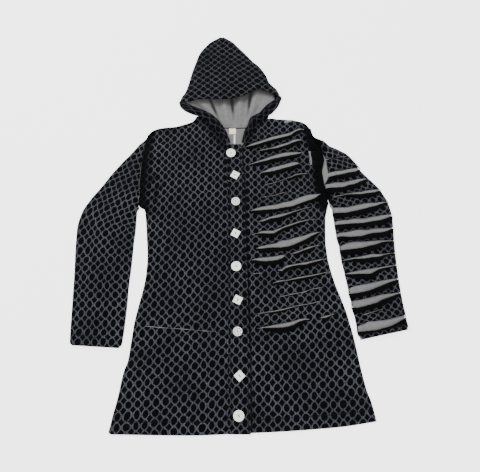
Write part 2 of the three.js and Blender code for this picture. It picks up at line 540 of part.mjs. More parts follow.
// Rows of the slashed front. Each rip gives the row of its lower lip and of its upper lip,
// and the strip between two rips has a row of its own that stands up.
function slashedRows({ columns, startEdge, endEdge, lines, below, above, radius, share, base, puff, covered }) {
  const place = (rowAt, guess) => {
    const start = meet(rowAt, startEdge, guess);
    const end = meet(rowAt, endEdge, guess);
    const slope = (end.y - start.y) / (end.x - start.x);
    const slants = [slantAt(startEdge, start.y, slope), slantAt(endEdge, end.y, slope)];
    return placeColumns(columns, start.x, end.x, radius, ...slants).map((x) => ({
      x, y: rowAt(x), span: [start.x, end.x],
    }));
  };
  const lips = [];
  for (const line of lines) {
    const centre = place(line.rowAt, line.rowAt(mix(startEdge[0].x, endEdge[0].x, 0.5)));
    lips.push(
      { cut: true, points: centre.map((p) => ({ ...p, y: p.y - line.gapAt(p.x) / 2, lip: line.gapAt(p.x) })) },
      { cut: false, points: centre.map((p) => ({ ...p, y: p.y + line.gapAt(p.x) / 2, lip: 0 })) },
    );
  }
  const plainRow = (rowAt, guess) => ({ cut: false, points: place(rowAt, guess).map((p) => ({ ...p, lip: 0 })) });
  const ordered = [
    ...below.map((rowAt) => plainRow(rowAt, rowAt(0))),
    ...lips,
    ...above.map((rowAt) => plainRow(rowAt, rowAt(0))),
  ];
  const withStrips = [];
  ordered.forEach((row, i) => {
    withStrips.push(row);
    const next = ordered[i + 1];
    if (row.cut || !next || !next.cut || i < below.length) return;
    const points = row.points.map((p, c) => ({
      ...p,
      x: (p.x + next.points[c].x) / 2,
      y: (p.y + next.points[c].y) / 2,
      lip: 0,
      strip: 1,
    }));
    withStrips.push({ cut: false, points });
  });
  const rows = withStrips.map(({ points }) => points.map((p, c) => {
    const standing = p.strip ? puff : Math.min(puff, p.lip * LIP_RISE);
    const fold = foldHeight(SLASHED_FOLDS, p.x, p.y) * smooth((p.span[1] - p.x) / 40);
    const free = smooth((p.x - p.span[0] - covered) / 20);
    const up = share(columns[c].up, p);
    return new THREE.Vector3(p.x, p.y, base * up + (up > 0.9 ? (standing + fold) * free : 0));
  }));
  return { rows, isCut: (r) => withStrips[r].cut };
}

function slashedFront() {
  const columns = columnsAcross(15, false, true);
  const startEdge = BAND_EDGES.map(({ y, seam }) => ({ y, x: seam + BAND_LAP + SEAM * 2 }));
  const straight = (centreY, sideY) => (x) => mix(centreY, sideY, x / 240);
  const below = [
    (x) => read(HEM, 'x', x, 'y'),
    straight(-562, -530), straight(-520, -494), straight(-470, -448), straight(-420, -402),
    straight(-370, -345),
  ];
  const topRow = (angle) => (x) => {
    const drop = x > LEFT_NECK_SIDE - NECK_BLEND ? SLASHED_TOP * (1 - Math.cos(angle)) : 2 * (1 - Math.cos(angle));
    return read(LEFT_TOP, 'x', x, 'y') - drop;
  };
  const above = SHOULDER_ROLL.map(topRow);
  const { rows, isCut } = slashedRows({
    columns, startEdge, endEdge: LEFT_SIDE, lines: ripLines(FRONT_RIPS), below, above,
    radius: SLASHED_TOP, base: SLASHED_TOP, puff: RIP_PUFF, covered: BAND_COVER,
    share: (up, p) => sideShare(up, p.y, ARMPIT_Y),
  });
  // The last four rows roll down over the shoulder
  SHOULDER_ROLL.forEach((angle, i) => {
    for (const point of rows[rows.length - SHOULDER_ROLL.length + i]) {
      point.z = Math.min(point.z, SLASHED_TOP) * shoulderShare(point.x, LEFT_NECK_SIDE, angle);
    }
  });
  return clothWall(rows, KNIT, isCut);
}

// Lining under the slashed front: a flat plate inside its outline
function frontLining() {
  const body = LEFT_SIDE.filter(({ y }) => y > -540 && y < -20);
  const side = [...offsetPath(body, BACK_INSET + 1.4), ...LEFT_ARMPIT_INSET.slice(0, 3)];
  side.push(...offsetPath(LEFT_SIDE.filter(({ y }) => y > 40), 3));
  side[side.length - 1] = { x: 201, y: 236 };
  const top = [
    { x: 192, y: 256 }, { x: 174, y: 268 }, { x: 147, y: 273 }, { x: 118, y: 275 },
    { x: 84, y: 275 }, { x: 66, y: 268 }, { x: 50, y: 258 }, { x: 36, y: 245 }, { x: 27, y: 228 },
    { x: 16, y: 204 }, { x: 8, y: 188 }, { x: -25, y: 186 },
  ];
  const hem = [{ x: -16, y: -577 }, { x: 43, y: -576 }, { x: 246, y: -561 }, { x: 316, y: -545 }];
  return plate([...hem, ...side, ...top], FRONT_FOOT, FLEECE);
}

function buttonBand() {
  const across = [0, 0.5, 1];
  const steps = 18;
  const rows = [];
  for (let i = 0; i <= steps; i += 1) {
    const y = mix(BAND_EDGES[0].y, BAND_EDGES[BAND_EDGES.length - 1].y, i / steps);
    const seam = read(BAND_EDGES, 'y', y, 'seam');
    const free = read(BAND_EDGES, 'y', y, 'free');
    rows.push(across.map((u) => new THREE.Vector3(mix(seam, free, u), y, BAND_TOP)));
  }
  return clothWall(rows, BAND);
}

// Slant of a section against the edge that runs past one of its ends
function sectionSlant(across, before, after) {
  const edge = new THREE.Vector2(after.x - before.x, after.y - before.y).normalize();
  return Math.min(WIDEST_SLANT, 1 / Math.max(0.1, Math.abs(across.x * edge.y - across.y * edge.x)));
}

// Rolled columns across a section between two points, and their height share
function sectionAcross(count, from, to, radius, fromSlant, toSlant) {
  const length = Math.hypot(to.x - from.x, to.y - from.y);
  const columns = columnsAcross(count, true, true);
  return placeColumns(columns, 0, length, radius, fromSlant, toSlant).map((d, i) => ({
    x: mix(from.x, to.x, d / length),
    y: mix(from.y, to.y, d / length),
    up: columns[i].up,
    t: d / length,
    atEnd: columns[i].end !== undefined,
  }));
}

const outerPoints = RIGHT_SLEEVE.map(({ outerX, outerY }) => ({ x: outerX, y: outerY }));
const innerPoints = RIGHT_SLEEVE.map(({ innerX, innerY }) => ({ x: innerX, y: innerY }));
function plainSleeve() {
  const last = RIGHT_SLEEVE.length - 1;
  const rows = outerPoints.map((from, r) => {
    const to = innerPoints[r];
    const across = new THREE.Vector2(to.x - from.x, to.y - from.y).normalize();
    const [before, after] = [Math.max(0, r - 1), Math.min(last, r + 1)];
    const fromSlant = sectionSlant(across, outerPoints[before], outerPoints[after]);
    const toSlant = r ? sectionSlant(across, innerPoints[Math.max(1, before)], innerPoints[after]) : 1;
    return sectionAcross(9, from, to, PLAIN_TOP, fromSlant, toSlant).map(({ x, y, up, t, atEnd }) => {
      const open = r === 0 && atEnd ? 1 : up;
      const bow = r === 0 ? read(RIGHT_SIDE, 'y', y, 'x') - 2 * SEAM - x : 0;
      const puff = SLEEVE_PUFF * Math.sin(Math.PI * t) ** 2 * smooth(r / 2);
      const lift = foldHeight(RIGHT_SLEEVE_FOLDS, x, y) * smooth(t * 4) * smooth((1 - t) * 4) * Math.min(1, r);
      return new THREE.Vector3(x + bow, y, PLAIN_TOP * open + (up > 0.9 ? puff + lift : 0));
    });
  });
  return clothWall(rows, BONDED);
}

// Flat under half of the plain sleeve, inside its folds and along the armhole seam
function plainSleeveUnder() {
  const outer = offsetPath(outerPoints, BACK_INSET).slice(1);
  const inner = offsetPath(innerPoints.slice(1), -BACK_INSET);
  const seam = offsetPath(RIGHT_SIDE.filter(({ y }) => y > 40 && y < 200), SEAM / 2);
  const armpit = [{ x: -282.4, y: 24 }, { x: -289, y: 14 }, { x: -291.5, y: -8 }];
  const shoulder = [{ x: -276, y: 205 }];
  return plate([...outer.reverse(), ...shoulder, ...seam.reverse(), ...armpit, ...inner], 0, BACK_LINING_TOP);
}

const straightBetween = (fromX, fromY, toX, toY) => (x) => mix(fromY, toY, (x - fromX) / (toX - fromX));

// Straight row of the slashed sleeve between a place on its inner and on its outer edge
function sleeveRow({ innerY, outerY }) {
  const fromX = read(LEFT_SLEEVE_INNER, 'y', innerY, 'x');
  const toX = read(LEFT_SLEEVE_OUTER, 'y', outerY, 'x');
  return straightBetween(fromX, innerY, toX, outerY);
}

// How far the slashed sleeve and its lining stand up between their two edges
function sleevePuff(x, y) {
  const from = read(LEFT_SLEEVE_INNER, 'y', y, 'x') + PUFF_MARGIN;
  const to = read(LEFT_SLEEVE_OUTER, 'y', y, 'x') - PUFF_MARGIN;
  return SLEEVE_PUFF * Math.sin(Math.PI * clamp01((x - from) / Math.max(1, to - from))) ** 2;
}

function slashedSleeve() {
  const columns = columnsAcross(8, true, true);
  const innerEdge = LEFT_SLEEVE_INNER.map(({ x, y }) => {
    const t = (y - ARMHOLE_RIP.fromY) / (ARMHOLE_RIP.toY - ARMHOLE_RIP.fromY);
    const gap = t > 0 && t < 1 ? ARMHOLE_RIP.gap * Math.sin(Math.PI * t) : 0;
    return { x: x + SEAM + gap, y };
  });
  const lines = ripLines(SLEEVE_RIPS);
  const { rows, isCut } = slashedRows({
    columns, startEdge: innerEdge, endEdge: LEFT_SLEEVE_OUTER, lines,
    below: [sleeveRow(LEFT_CUFF), sleeveRow({ innerY: -354, outerY: -326 })],
    above: LEFT_SLEEVE_PLAIN_ROWS.map(sleeveRow),
    radius: SLASHED_TOP, base: SLASHED_TOP, puff: RIP_PUFF - 1, covered: 0,
    share: (up, p) => (p.x < mix(p.span[0], p.span[1], 0.5) ? sideShare(up, p.y, ARMPIT_Y + 6) : up),
  });
  for (const point of rows.flat()) {
    if (point.z > SLASHED_TOP * 0.95) point.z += sleevePuff(point.x, point.y);
  }
  const whole = (r, c) => c === 0 || c === columns.length - 2;
  return clothWall(rows, KNIT, (r, c) => isCut(r) && !whole(r, c));
}

// The sleeve lining follows the slashed sleeve's own lines, inside its folds
function sleeveLining() {
  const columns = columnsAcross(7, true, true);
  const step = SLASHED_TOP - LINING_TOP + LINING_SLACK;
  const folds = LEFT_SLEEVE_INNER.map(({ x, y }) => ({ x: x + mix(step, 2 * SEAM, smooth((y - ARMPIT_Y) / 20)), y }));
  const outer = offsetPath(LEFT_SLEEVE_OUTER, step);
  const rowsAt = [
    sleeveRow(LEFT_CUFF), ...ripLines(SLEEVE_RIPS).map((line) => line.rowAt),
    ...LEFT_SLEEVE_PLAIN_ROWS.slice(0, LINED_PLAIN_ROWS).map(sleeveRow),
  ];
  const rows = rowsAt.map((rowAt) => {
    const start = meet(rowAt, folds, rowAt(folds[0].x));
    const end = meet(rowAt, outer, rowAt(outer[0].x));
    const slope = (end.y - start.y) / (end.x - start.x);
    const slants = [slantAt(folds, start.y, slope), slantAt(outer, end.y, slope)];
    return placeColumns(columns, start.x, end.x, LINING_TOP, ...slants).map((x, c) => {
      const atInner = x < mix(start.x, end.x, 0.5);
      const up = atInner ? sideShare(columns[c].up, rowAt(x), ARMPIT_Y + 6) : columns[c].up;
      const y = rowAt(x);
      const puff = up > 0.95 ? LINING_PUFF_SHARE * sleevePuff(x, y) : 0;
      return new THREE.Vector3(x, y, LINING_TOP * up + puff);
    });
  });
  return clothWall(rows, FLEECE);
}

function slashedSleeveUnder() {
  const outer = offsetPath(LEFT_SLEEVE_OUTER, SLASHED_SLEEVE_INSET).filter(({ y }) => y < 206);
  const fold = offsetPath(LEFT_SLEEVE_INNER.filter(({ y }) => y < ARMPIT_Y), -SLASHED_SLEEVE_INSET);
  const armpit = [{ x: 265, y: 6 }, { x: 260, y: 20 }, { x: 248, y: 32 }];
  const seam = offsetPath(LEFT_SLEEVE_INNER.filter(({ y }) => y > 40 && y < 205), -SEAM / 2);
  return plate([...outer, { x: 216, y: 208 }, ...seam.reverse(), ...armpit.reverse(), ...fold.reverse()], 0, BACK_LINING_TOP);
}

// Crown of the hood: rows run from the outline to the crown seam, from the tip to the opening
function crownHalf(outline, opening, seamSide) {
  const levels = [0, 0.012, 0.03, 0.1, 0.2, 0.32, 0.44, 0.56, 0.68, 0.8, 0.9, 1];
  const lengths = outline.map((point, i) => (i ? Math.hypot(point.x - outline[i - 1].x, point.y - outline[i - 1].y) : 0));
  let walked = 0;
  const path = outline.map((point, i) => {
    walked += lengths[i];
    return { ...point, walked };
  });
  const openingByX = [...opening].sort((a, b) => a.x - b.x);
  const columns = columnsAcross(7, true, false);
  const rows = levels.map((level) => {
    const outer = {
      x: read(path, 'walked', walked * level, 'x') + seamSide * TIP_ROOM * (1 - level),
      y: read(path, 'walked', walked * level, 'y'),
    };
    const seam = {
      x: mix(CROWN_SEAM.topX, CROWN_SEAM.footX, level) + seamSide * mix(TIP_ROOM, SEAM / 2, level),
      y: mix(CROWN_SEAM.topY, CROWN_SEAM.footY, level),
    };
    const tipRoll = Math.min(HOOD_ROLL, (CROWN_SEAM.topY - seam.y));
    const topShare = Math.sin(Math.acos(1 - tipRoll / HOOD_ROLL));
    const length = Math.max(Math.hypot(seam.x - outer.x, seam.y - outer.y), 0.6);
    return placeColumns(columns, 0, length, HOOD_ROLL).map((d, c) => {
      const t = d / length;
      const x = mix(outer.x, seam.x, t);
      const straightY = mix(outer.y, seam.y, t);
      const bend = (read(openingByX, 'x', x, 'y') - mix(outline[outline.length - 1].y, CROWN_SEAM.footY, t)) * level ** 5;
      const rise = CROWN_RISE * smooth(level * 1.1) * Math.sin((Math.PI / 2) * t) ** 0.8;
      const up = Math.min(columns[c].up, topShare);
      return new THREE.Vector3(x, straightY + bend, HOOD_ROLL * up + (up > 0.9 ? rise : 0));
    });
  });
  return clothWall(rows, BONDED);
}

// Rolled edge of the opening: from its free lip over a crest down to its foot
function hoodEdge(stations) {
  const over = [
    { t: 0, up: 0 }, { t: 0.18, up: 0.75 }, { t: 0.42, up: 1 }, { t: 0.7, up: 0.86 }, { t: 0.92, up: 0.45 },
    { t: 1, up: 0 },
  ];
  const rows = stations.map((s) => over.map(({ t, up }) => {
    const level = t < 0.42 ? EDGE_LIP : s.footZ;
    const from = t < 0.42 ? Math.min(EDGE_LIP, s.crest) : level;
    return new THREE.Vector3(mix(s.innerX, s.footX, t), mix(s.innerY, s.footY, t), mix(from, s.crest, up));
  }));
  return clothWall(rows, KNIT);
}

// Under half of the hood, on the floor, above the neckline
function hoodBackOutline() {
  const left = offsetPath(HOOD_LEFT_OUTLINE, -HOOD_INSET).slice(1);
  const right = offsetPath(HOOD_RIGHT_OUTLINE, HOOD_INSET).slice(1);
  const leftCorner = [{ x: 84, y: 290 }, { x: 90, y: 314 }, { x: 104, y: 336 }];
  const rightCorner = [{ x: -164, y: 324 }, { x: -134, y: 302 }, { x: -118, y: 290 }];
  const tip = { x: CROWN_SEAM.topX, y: CROWN_SEAM.topY - HOOD_INSET };
  return [...NECKLINE, ...leftCorner, ...left.reverse(), tip, ...right, ...rightCorner];
}

function hoodLining() {
  const across = 20;
  const rows = HOOD_LINING_ROWS.map((row) => Array.from({ length: across + 1 }, (_, i) => {
    const u = i / across;
    const x = mix(row.right, row.left, u);
    const sides = (row.sides - BACK_LINING_TOP) * Math.abs(2 * u - 1) ** 6;
    const fade = smooth(u * 5) * smooth((1 - u) * 5) * smooth((450 - row.y) / 60) * smooth((row.y - 250) / 14);
    const y = row.y + (read(NECKLINE, 'x', x, 'y') - NECKLINE_LOW) * (1 - smooth((row.y - 252) / 45));
    return new THREE.Vector3(x, y, BACK_LINING_TOP + sides + foldHeight(LINING_FOLDS, x, y) * fade);
  }));
  return clothWall(rows, FLEECE);
}

// Joining and cutting of hard pieces
function toSolid(geometry) {
  const bare = geometry.clone();
  bare.deleteAttribute('normal');
  bare.deleteAttribute('uv');
  const merged = mergeVertices(bare, 1e-4);
  const mesh = new wasm.Mesh({
    numProp: 3,
    vertProperties: new Float32Array(merged.attributes.position.array),
    triVerts: new Uint32Array(merged.index.array),
  });
  return new wasm.Manifold(mesh);
}

function toGeometry(solid) {
  const mesh = solid.getMesh();
  const geometry = new THREE.BufferGeometry();
  geometry.setAttribute('position', new THREE.BufferAttribute(mesh.vertProperties, 3));
  geometry.setIndex(new THREE.BufferAttribute(mesh.triVerts, 1));
  return geometry;
}

function roundBlank(across) {
  const radius = across / 2;
  const profile = [
    [0, 0], [radius - 1, 0], [radius, 1], [radius, BUTTON_THICK - 1], [radius - 1, BUTTON_THICK],
    [radius - 3, BUTTON_THICK], [radius - 5, BUTTON_THICK - BUTTON_DISH], [0, BUTTON_THICK - BUTTON_DISH],
  ].map(([r, z]) => new THREE.Vector2(r, z));
  return new THREE.LatheGeometry(profile, 24).rotateX(Math.PI / 2);
}

function squareBlank(across) {
  const half = across / 2 - 1;
  const shape = new THREE.Shape([[-half, -half], [half, -half], [half, half], [-half, half]].map(
    ([x, y]) => new THREE.Vector2(x, y),
  ));
  const bevel = { bevelThickness: 1, bevelSize: 1, bevelSegments: 1 };
  const geometry = new THREE.ExtrudeGeometry(shape, { depth: BUTTON_THICK - 2, ...bevel });
  return geometry.translate(0, 0, 1);
}

function button({ shape, across, turn }) {
  let solid = toSolid(shape === 'square' ? squareBlank(across) : roundBlank(across));
  for (const side of [-1, 1]) {
    const drill = new THREE.CylinderGeometry(THREAD_HOLE / 2, THREAD_HOLE / 2, 3 * BUTTON_THICK, 8);
    drill.rotateX(Math.PI / 2).translate(0, side * HOLE_PITCH / 2, 0);
    solid = solid.subtract(toSolid(drill));
  }
  return toGeometry(solid).rotateZ(THREE.MathUtils.degToRad(turn));
}

function smallPatch({ x, y, width, height, thickness }, foot) {
  const corners = [[-1, -1], [1, -1], [1, 1], [-1, 1]];
  return plate(corners.map(([i, j]) => ({ x: x + (i * width) / 2, y: y + (j * height) / 2 })), foot, thickness);
}

addNode('back', plate(backOutline(), 0, BACK_TOP), PRINTED);
addNode('back_lining', plate(backOutline(), BACK_LINING_FOOT, FLEECE), GREY_FLEECE);
addNode('front_right', plainFront(), PRINTED);
addNode('front_left_lining', frontLining(), GREY_FLEECE);
addNode('front_left_slashed', slashedFront(), PRINTED);
addNode('button_band', buttonBand(), PRINTED);
addNode('sleeve_right_under', plainSleeveUnder(), PRINTED);
addNode('sleeve_right_upper', plainSleeve(), PRINTED);
addNode('sleeve_left_under', slashedSleeveUnder(), PRINTED);
addNode('sleeve_left_lining', sleeveLining(), GREY_FLEECE);
addNode('sleeve_left_slashed', slashedSleeve(), PRINTED);
addNode('hood_back', plate(hoodBackOutline(), 0, BACK_TOP), PRINTED);
addNode('hood_lining', hoodLining(), GREY_FLEECE);
addNode('hood_right_crown', crownHalf(HOOD_RIGHT_OUTLINE, OPENING_RIGHT, -1), PRINTED);
addNode('hood_left_crown', crownHalf(HOOD_LEFT_OUTLINE, OPENING_LEFT, 1), PRINTED);
addNode('hood_right_edge', hoodEdge(EDGE_RIGHT), PRINTED);
addNode('hood_left_edge', hoodEdge(EDGE_LEFT), PRINTED);
addNode('label', smallPatch(LABEL, FRONT_FOOT), LABEL_CLOTH);
addNode('label_loop', smallPatch(LOOP, FRONT_FOOT), LABEL_CLOTH);
BUTTONS.forEach((entry, i) => {
  const geometry = button(entry).translate(entry.x, entry.y, BUTTON_FOOT);
  addNode(`button_${i + 1}`, geometry, BONE);
});

const coat = new THREE.Group();
for (const { name, geometry, finish } of nodes) {
  const mesh = new THREE.Mesh(geometry, new THREE.MeshStandardMaterial(finish));
  mesh.name = name;
  coat.add(mesh);
}
// The origin is under the middle of the coat
const middle = new THREE.Box3().setFromObject(coat).getCenter(new THREE.Vector3());
coat.position.set(-middle.x, -middle.y, 0);

export default coat;
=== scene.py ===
"""A long hooded coat, buttoned up and laid flat on its back: its cloth, sewing, buttons and light.

Sizes are in millimetres, as on the maker's table: x to the wearer's left, y to the hood, z up.
TABLE_TO_ROW and MM turn them into metres in the row frame.
"""

import math

import bpy
import numpy as np
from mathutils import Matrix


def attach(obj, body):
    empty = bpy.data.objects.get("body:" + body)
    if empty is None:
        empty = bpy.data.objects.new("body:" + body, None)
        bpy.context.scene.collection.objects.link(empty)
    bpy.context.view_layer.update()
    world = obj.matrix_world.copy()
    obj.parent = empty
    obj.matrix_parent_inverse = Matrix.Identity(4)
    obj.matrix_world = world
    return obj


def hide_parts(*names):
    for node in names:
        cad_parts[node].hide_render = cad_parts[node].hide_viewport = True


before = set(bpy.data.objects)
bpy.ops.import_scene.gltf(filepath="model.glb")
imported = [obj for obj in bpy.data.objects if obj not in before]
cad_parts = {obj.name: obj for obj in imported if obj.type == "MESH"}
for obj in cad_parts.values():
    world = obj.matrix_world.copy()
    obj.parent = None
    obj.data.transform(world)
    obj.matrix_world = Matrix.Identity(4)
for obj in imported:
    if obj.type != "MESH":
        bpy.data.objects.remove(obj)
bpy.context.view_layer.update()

TABLE_TO_ROW = np.array([7.0714, -1.0, 0.0])
MM = 0.001

# Thickness of each cloth, and the heights of the layers that lie on each other
KNIT = 1.5
FLEECE = 1.2
BONDED = 2.8
BAND = 2.0
SEAM = 0.3
BACK_TOP = 1.6
BACK_LINING_TOP = BACK_TOP + SEAM + FLEECE
FRONT_FOOT = BACK_LINING_TOP + SEAM
PLAIN_TOP = FRONT_FOOT + BONDED
LINING_TOP = FRONT_FOOT + FLEECE
SLASHED_TOP = LINING_TOP + SEAM + KNIT
BAND_TOP = SLASHED_TOP + SEAM + BAND
BUTTON_FOOT = BAND_TOP + SEAM
# Thickness of the shells in this scene, thinner than the solids so that layers keep clear of each other
KNIT_SHELL = KNIT - 0.3
BONDED_SHELL = BONDED - 0.4
CROWN_SHELL = BONDED - 0.6
UNDER_SHELL = BACK_TOP - 0.9
SLEEVE_UNDER_SHELL = BACK_LINING_TOP - 1.0
BACK_INSET = 6.2
SLASHED_SLEEVE_INSET = 10.0
LINING_SLACK = 0.8
HOOD_ROLL = 9.0


def mix(a, b, t):
    return a + (b - a) * t


def smooth(t):
    t = np.clip(t, 0.0, 1.0)
    return t * t * (3 - 2 * t)


def bump_at(value, centre, reach):
    """1 at centre, falling softly to 0 at reach on both sides."""
    off = np.clip(np.abs(value - centre) / reach, 0, 1)
    return (1 + np.cos(np.pi * off)) / 2


def read_line(xs, ys, x):
    """Reads ys along xs on a smooth line that never swings past its points."""
    step = np.diff(xs)
    slope = np.diff(ys) / step
    lean = np.zeros(len(xs))
    lean[0], lean[-1] = slope[0], slope[-1]
    for i in range(1, len(xs) - 1):
        if slope[i - 1] * slope[i] > 0:
            near, far = 2 * step[i] + step[i - 1], step[i] + 2 * step[i - 1]
            lean[i] = (near + far) / (near / slope[i - 1] + far / slope[i])
    x = np.clip(x, xs[0], xs[-1])
    i = np.clip(np.searchsorted(xs, x, side="right") - 1, 0, len(step) - 1)
    t = (x - xs[i]) / step[i]
    start = ys[i] * (1 + 2 * t) * (1 - t) ** 2 + step[i] * lean[i] * t * (1 - t) ** 2
    end = ys[i + 1] * t * t * (3 - 2 * t) + step[i] * lean[i + 1] * t * t * (t - 1)
    return start + end


class Table:
    """Measured sizes in named columns, one row after another along the first column."""

    def __init__(self, columns, *rows):
        self.names = columns.split()
        for i, name in enumerate(self.names):
            setattr(self, name, np.array([row[i] for row in rows], float))

    def at(self, column, value):
        return read_line(getattr(self, self.names[0]), getattr(self, column), value)

    def rows(self):
        return zip(*(getattr(self, name) for name in self.names))

    def moved(self, column, by):
        """The same table with one column moved by a distance, or by a list of distances."""
        columns = [getattr(self, n) + (by if n == column else 0) for n in self.names]
        return Table(" ".join(self.names), *zip(*columns))


# Body outline on the wearer's right and left, from the hem up to the shoulder point
RIGHT_SIDE = Table(
    "y x",
    (-583, -314), (-550, -309), (-497, -298), (-440, -289), (-411, -280), (-360, -275), (-319, -271),
    (-278, -263), (-244, -255), (-201, -249), (-168, -248), (-96, -254), (-43, -260), (-10, -266), (4, -281),
    (52, -282), (108, -281), (163, -278), (222, -270),
)
LEFT_SIDE = Table(
    "y x",
    (-553, 328.5), (-510, 320), (-482, 311), (-425, 300), (-367, 291), (-306, 279), (-244, 260), (-212, 249),
    (-179, 241), (-146, 235), (-113, 232), (-60, 234), (-10, 238), (4, 246), (52, 240), (90, 234),
    (114, 233), (135, 238), (153, 243), (175, 237.5), (195, 229), (212, 219), (226, 211.5), (246, 208),
)
ARMPIT = 4.0
# The back stays inside the fronts' rolled sides, then meets the armhole seams
BACK_RIGHT_EDGE = Table(
    "y x",
    (-583, -308), (-497, -291.8), (-440, -282.8), (-411, -273.8), (-360, -268.8), (-278, -256.8),
    (-244, -248.8), (-201, -242.8), (-168, -241.8), (-96, -247.8), (-43, -253.8), (-18, -257), (4, -262),
    (16, -272), (22, -281.8), (52, -281.85), (108, -280.85), (163, -277.85), (213, -268.5),
)
BACK_LEFT_EDGE = Table(
    "y x",
    (-553, 322.5), (-510, 313.8), (-482, 304.8), (-425, 293.8), (-367, 284.8), (-306, 272.8), (-244, 253.8),
    (-212, 242.8), (-179, 234.8), (-146, 228.8), (-113, 225.8), (-60, 227.8), (-18, 230), (4, 233),
    (16, 237), (22, 243.4), (52, 239.85), (108, 229.85), (150, 225.85), (218, 212), (237, 207),
)
BACK_TOP_EDGE = Table(
    "x y",
    (-268.5, 215), (-254, 232.5), (-231, 243.5), (-188, 249.5), (-160, 257), (-136, 266), (-118, 264),
    (-100, 257.7), (-60, 251.7), (-12, 249.7), (40, 253.7), (74, 261.7), (96, 272), (112, 276), (147, 274.5),
    (175, 269.5), (194, 258), (207, 237),
)
RIGHT_TOP = Table(
    "x y",
    (-270, 225), (-256, 241.5), (-232, 250.5), (-188, 256), (-162, 264), (-142, 272), (-134, 280),
    (-127, 291), (-112, 292), (-98, 280), (-82, 264), (-66, 242), (-54, 222), (-44, 203), (-36, 191),
    (-28, 188),
)
LEFT_TOP = Table(
    "x y",
    (-26, 188), (5, 190), (13, 206), (25, 233), (34, 251), (48, 264), (64, 275), (80, 283), (110, 284),
    (148, 281), (177, 276), (197, 264), (208, 246),
)
RIGHT_NECK_SIDE = -139.0
LEFT_NECK_SIDE = 110.0
NECK_BLEND = 12.0
HEM = Table(
    "x y",
    (-314, -583), (-119, -585.5), (0, -581), (87, -577.5), (174, -572), (246, -566), (328.5, -554),
)
HEM_STITCH = 30.0
CUFF_STITCH = 22.0

# Button band: its sewn edge and its free edge
BAND_EDGES = Table(
    "y seam free",
    (-587, -26, 26), (-435, -28, 25), (-260, -30, 21), (-96, -32, 16), (82, -35, 11), (196, -38, 4),
)
BAND_LAP = 8.0
BAND_COVER = 46.0


def slits(*paths):
    return [Table("x y gap", *path) for path in paths]


# The slits of the left front from the hem up: where each runs and how wide it gapes
FRONT_SLITS = slits(
    [(37, -334, 0), (60, -331, 3), (90, -328, 10), (115, -325, 13), (136, -320, 11), (152, -313, 8),
     (168, -310, 5), (183, -309, 0), (200, -306.5, 0), (219, -304, 7), (236, -298, 3), (250, -292, 0)],
    [(30, -297, 0), (60, -293, 2.6), (91, -289, 4.6), (115, -284, 4.6), (145, -276, 3.4), (185, -269, 3.6),
     (222, -259, 0)],
    [(95, -252, 0), (116, -249, 2.6), (140, -244, 4), (163, -240, 2.4), (187, -232, 2.8), (228, -223, 0)],
    [(83, -217, 0), (101, -211, 6), (120, -208.5, 3.6), (157, -201, 5.8), (180, -197, 5), (204, -192, 5),
     (240, -183, 0)],
    [(27, -190, 0), (45, -189, 3.2), (70, -185, 0), (97, -179, 0), (109, -181, 7), (122, -172, 8),
     (142, -167, 6), (158, -164, 7), (174, -162, 9), (190, -158, 6.5), (206, -154, 6), (233, -148, 0)],
    [(29, -152, 0), (47, -151, 9), (63, -151, 13), (95, -148, 14), (111, -144, 12), (124, -139, 0),
     (133, -135, 0), (151, -132, 6.5), (168, -125, 6), (184, -119, 7.5), (200, -114, 4), (224, -108, 0)],
    [(42, -120, 0), (56, -118, 9), (79, -114, 12), (96, -112, 15), (112, -108, 22), (128, -106, 21.5),
     (144, -101, 21), (161, -95, 18), (177, -89, 15), (194, -81, 11), (223, -71, 0)],
    [(22, -82, 0), (48, -77, 4), (64, -74, 10), (88, -74, 11), (105, -67, 8.5), (121, -59, 6),
     (138, -53, 6.5), (163, -44, 6), (188, -38, 3.6), (217, -33, 0)],
    [(50, -42.5, 0), (64, -40, 8), (81, -33, 8), (106, -27, 11), (131, -20, 8), (148, -14, 5.5),
     (175, -5, 3.5), (206, 4, 0)],
    [(28, -11, 0), (48, -7, 11), (73, -3, 14.5), (98, 0, 16.5), (123, 6, 18.5), (140, 9, 19.5),
     (165, 19, 21.5), (191, 28, 20), (208, 32, 15), (227, 41, 0)],
    [(50, 30, 0), (74, 32, 2.6), (99, 36, 3.4), (116, 42, 4), (136, 48, 0)],
    [(65, 67, 0), (86, 71, 4), (109, 78, 3), (126, 85, 3), (143, 91, 5), (160, 99, 6), (177, 102, 4.2),
     (197, 103, 0)],
    [(52, 101.5, 0), (75, 110, 9.5), (92, 115, 15.5), (110, 120, 15.5), (127, 125, 14.5), (144, 130, 15.5),
     (160, 134, 12), (171, 135, 0)],
    [(22, 131, 0), (41, 136, 6.5), (59, 142, 9), (76, 147, 12), (93, 153, 13), (111, 158, 15),
     (128, 162, 15.5), (145, 165, 14), (163, 167, 10), (186, 170, 0)],
    [(48, 173, 0), (68, 178.5, 6.5), (85, 182, 6), (103, 186, 9.5), (120, 192, 11.5), (138, 198, 10.5),
     (156, 206.5, 11.5), (173, 210.5, 7.5), (185, 211, 0)],
    [(14, 188, 0), (42, 197, 11.5), (68, 206, 12), (95, 216, 14), (121, 223, 13), (148, 231, 13),
     (160, 239, 9), (175, 246, 8.5), (193, 246, 0), (205, 242, 0)],
    [(-20, 185, 0), (14, 198, 0), (34, 223, 0), (64, 242, 0), (100, 257, 0), (130, 268, 0), (160, 274, 0),
     (180, 268, 0), (205, 248, 0)],
)
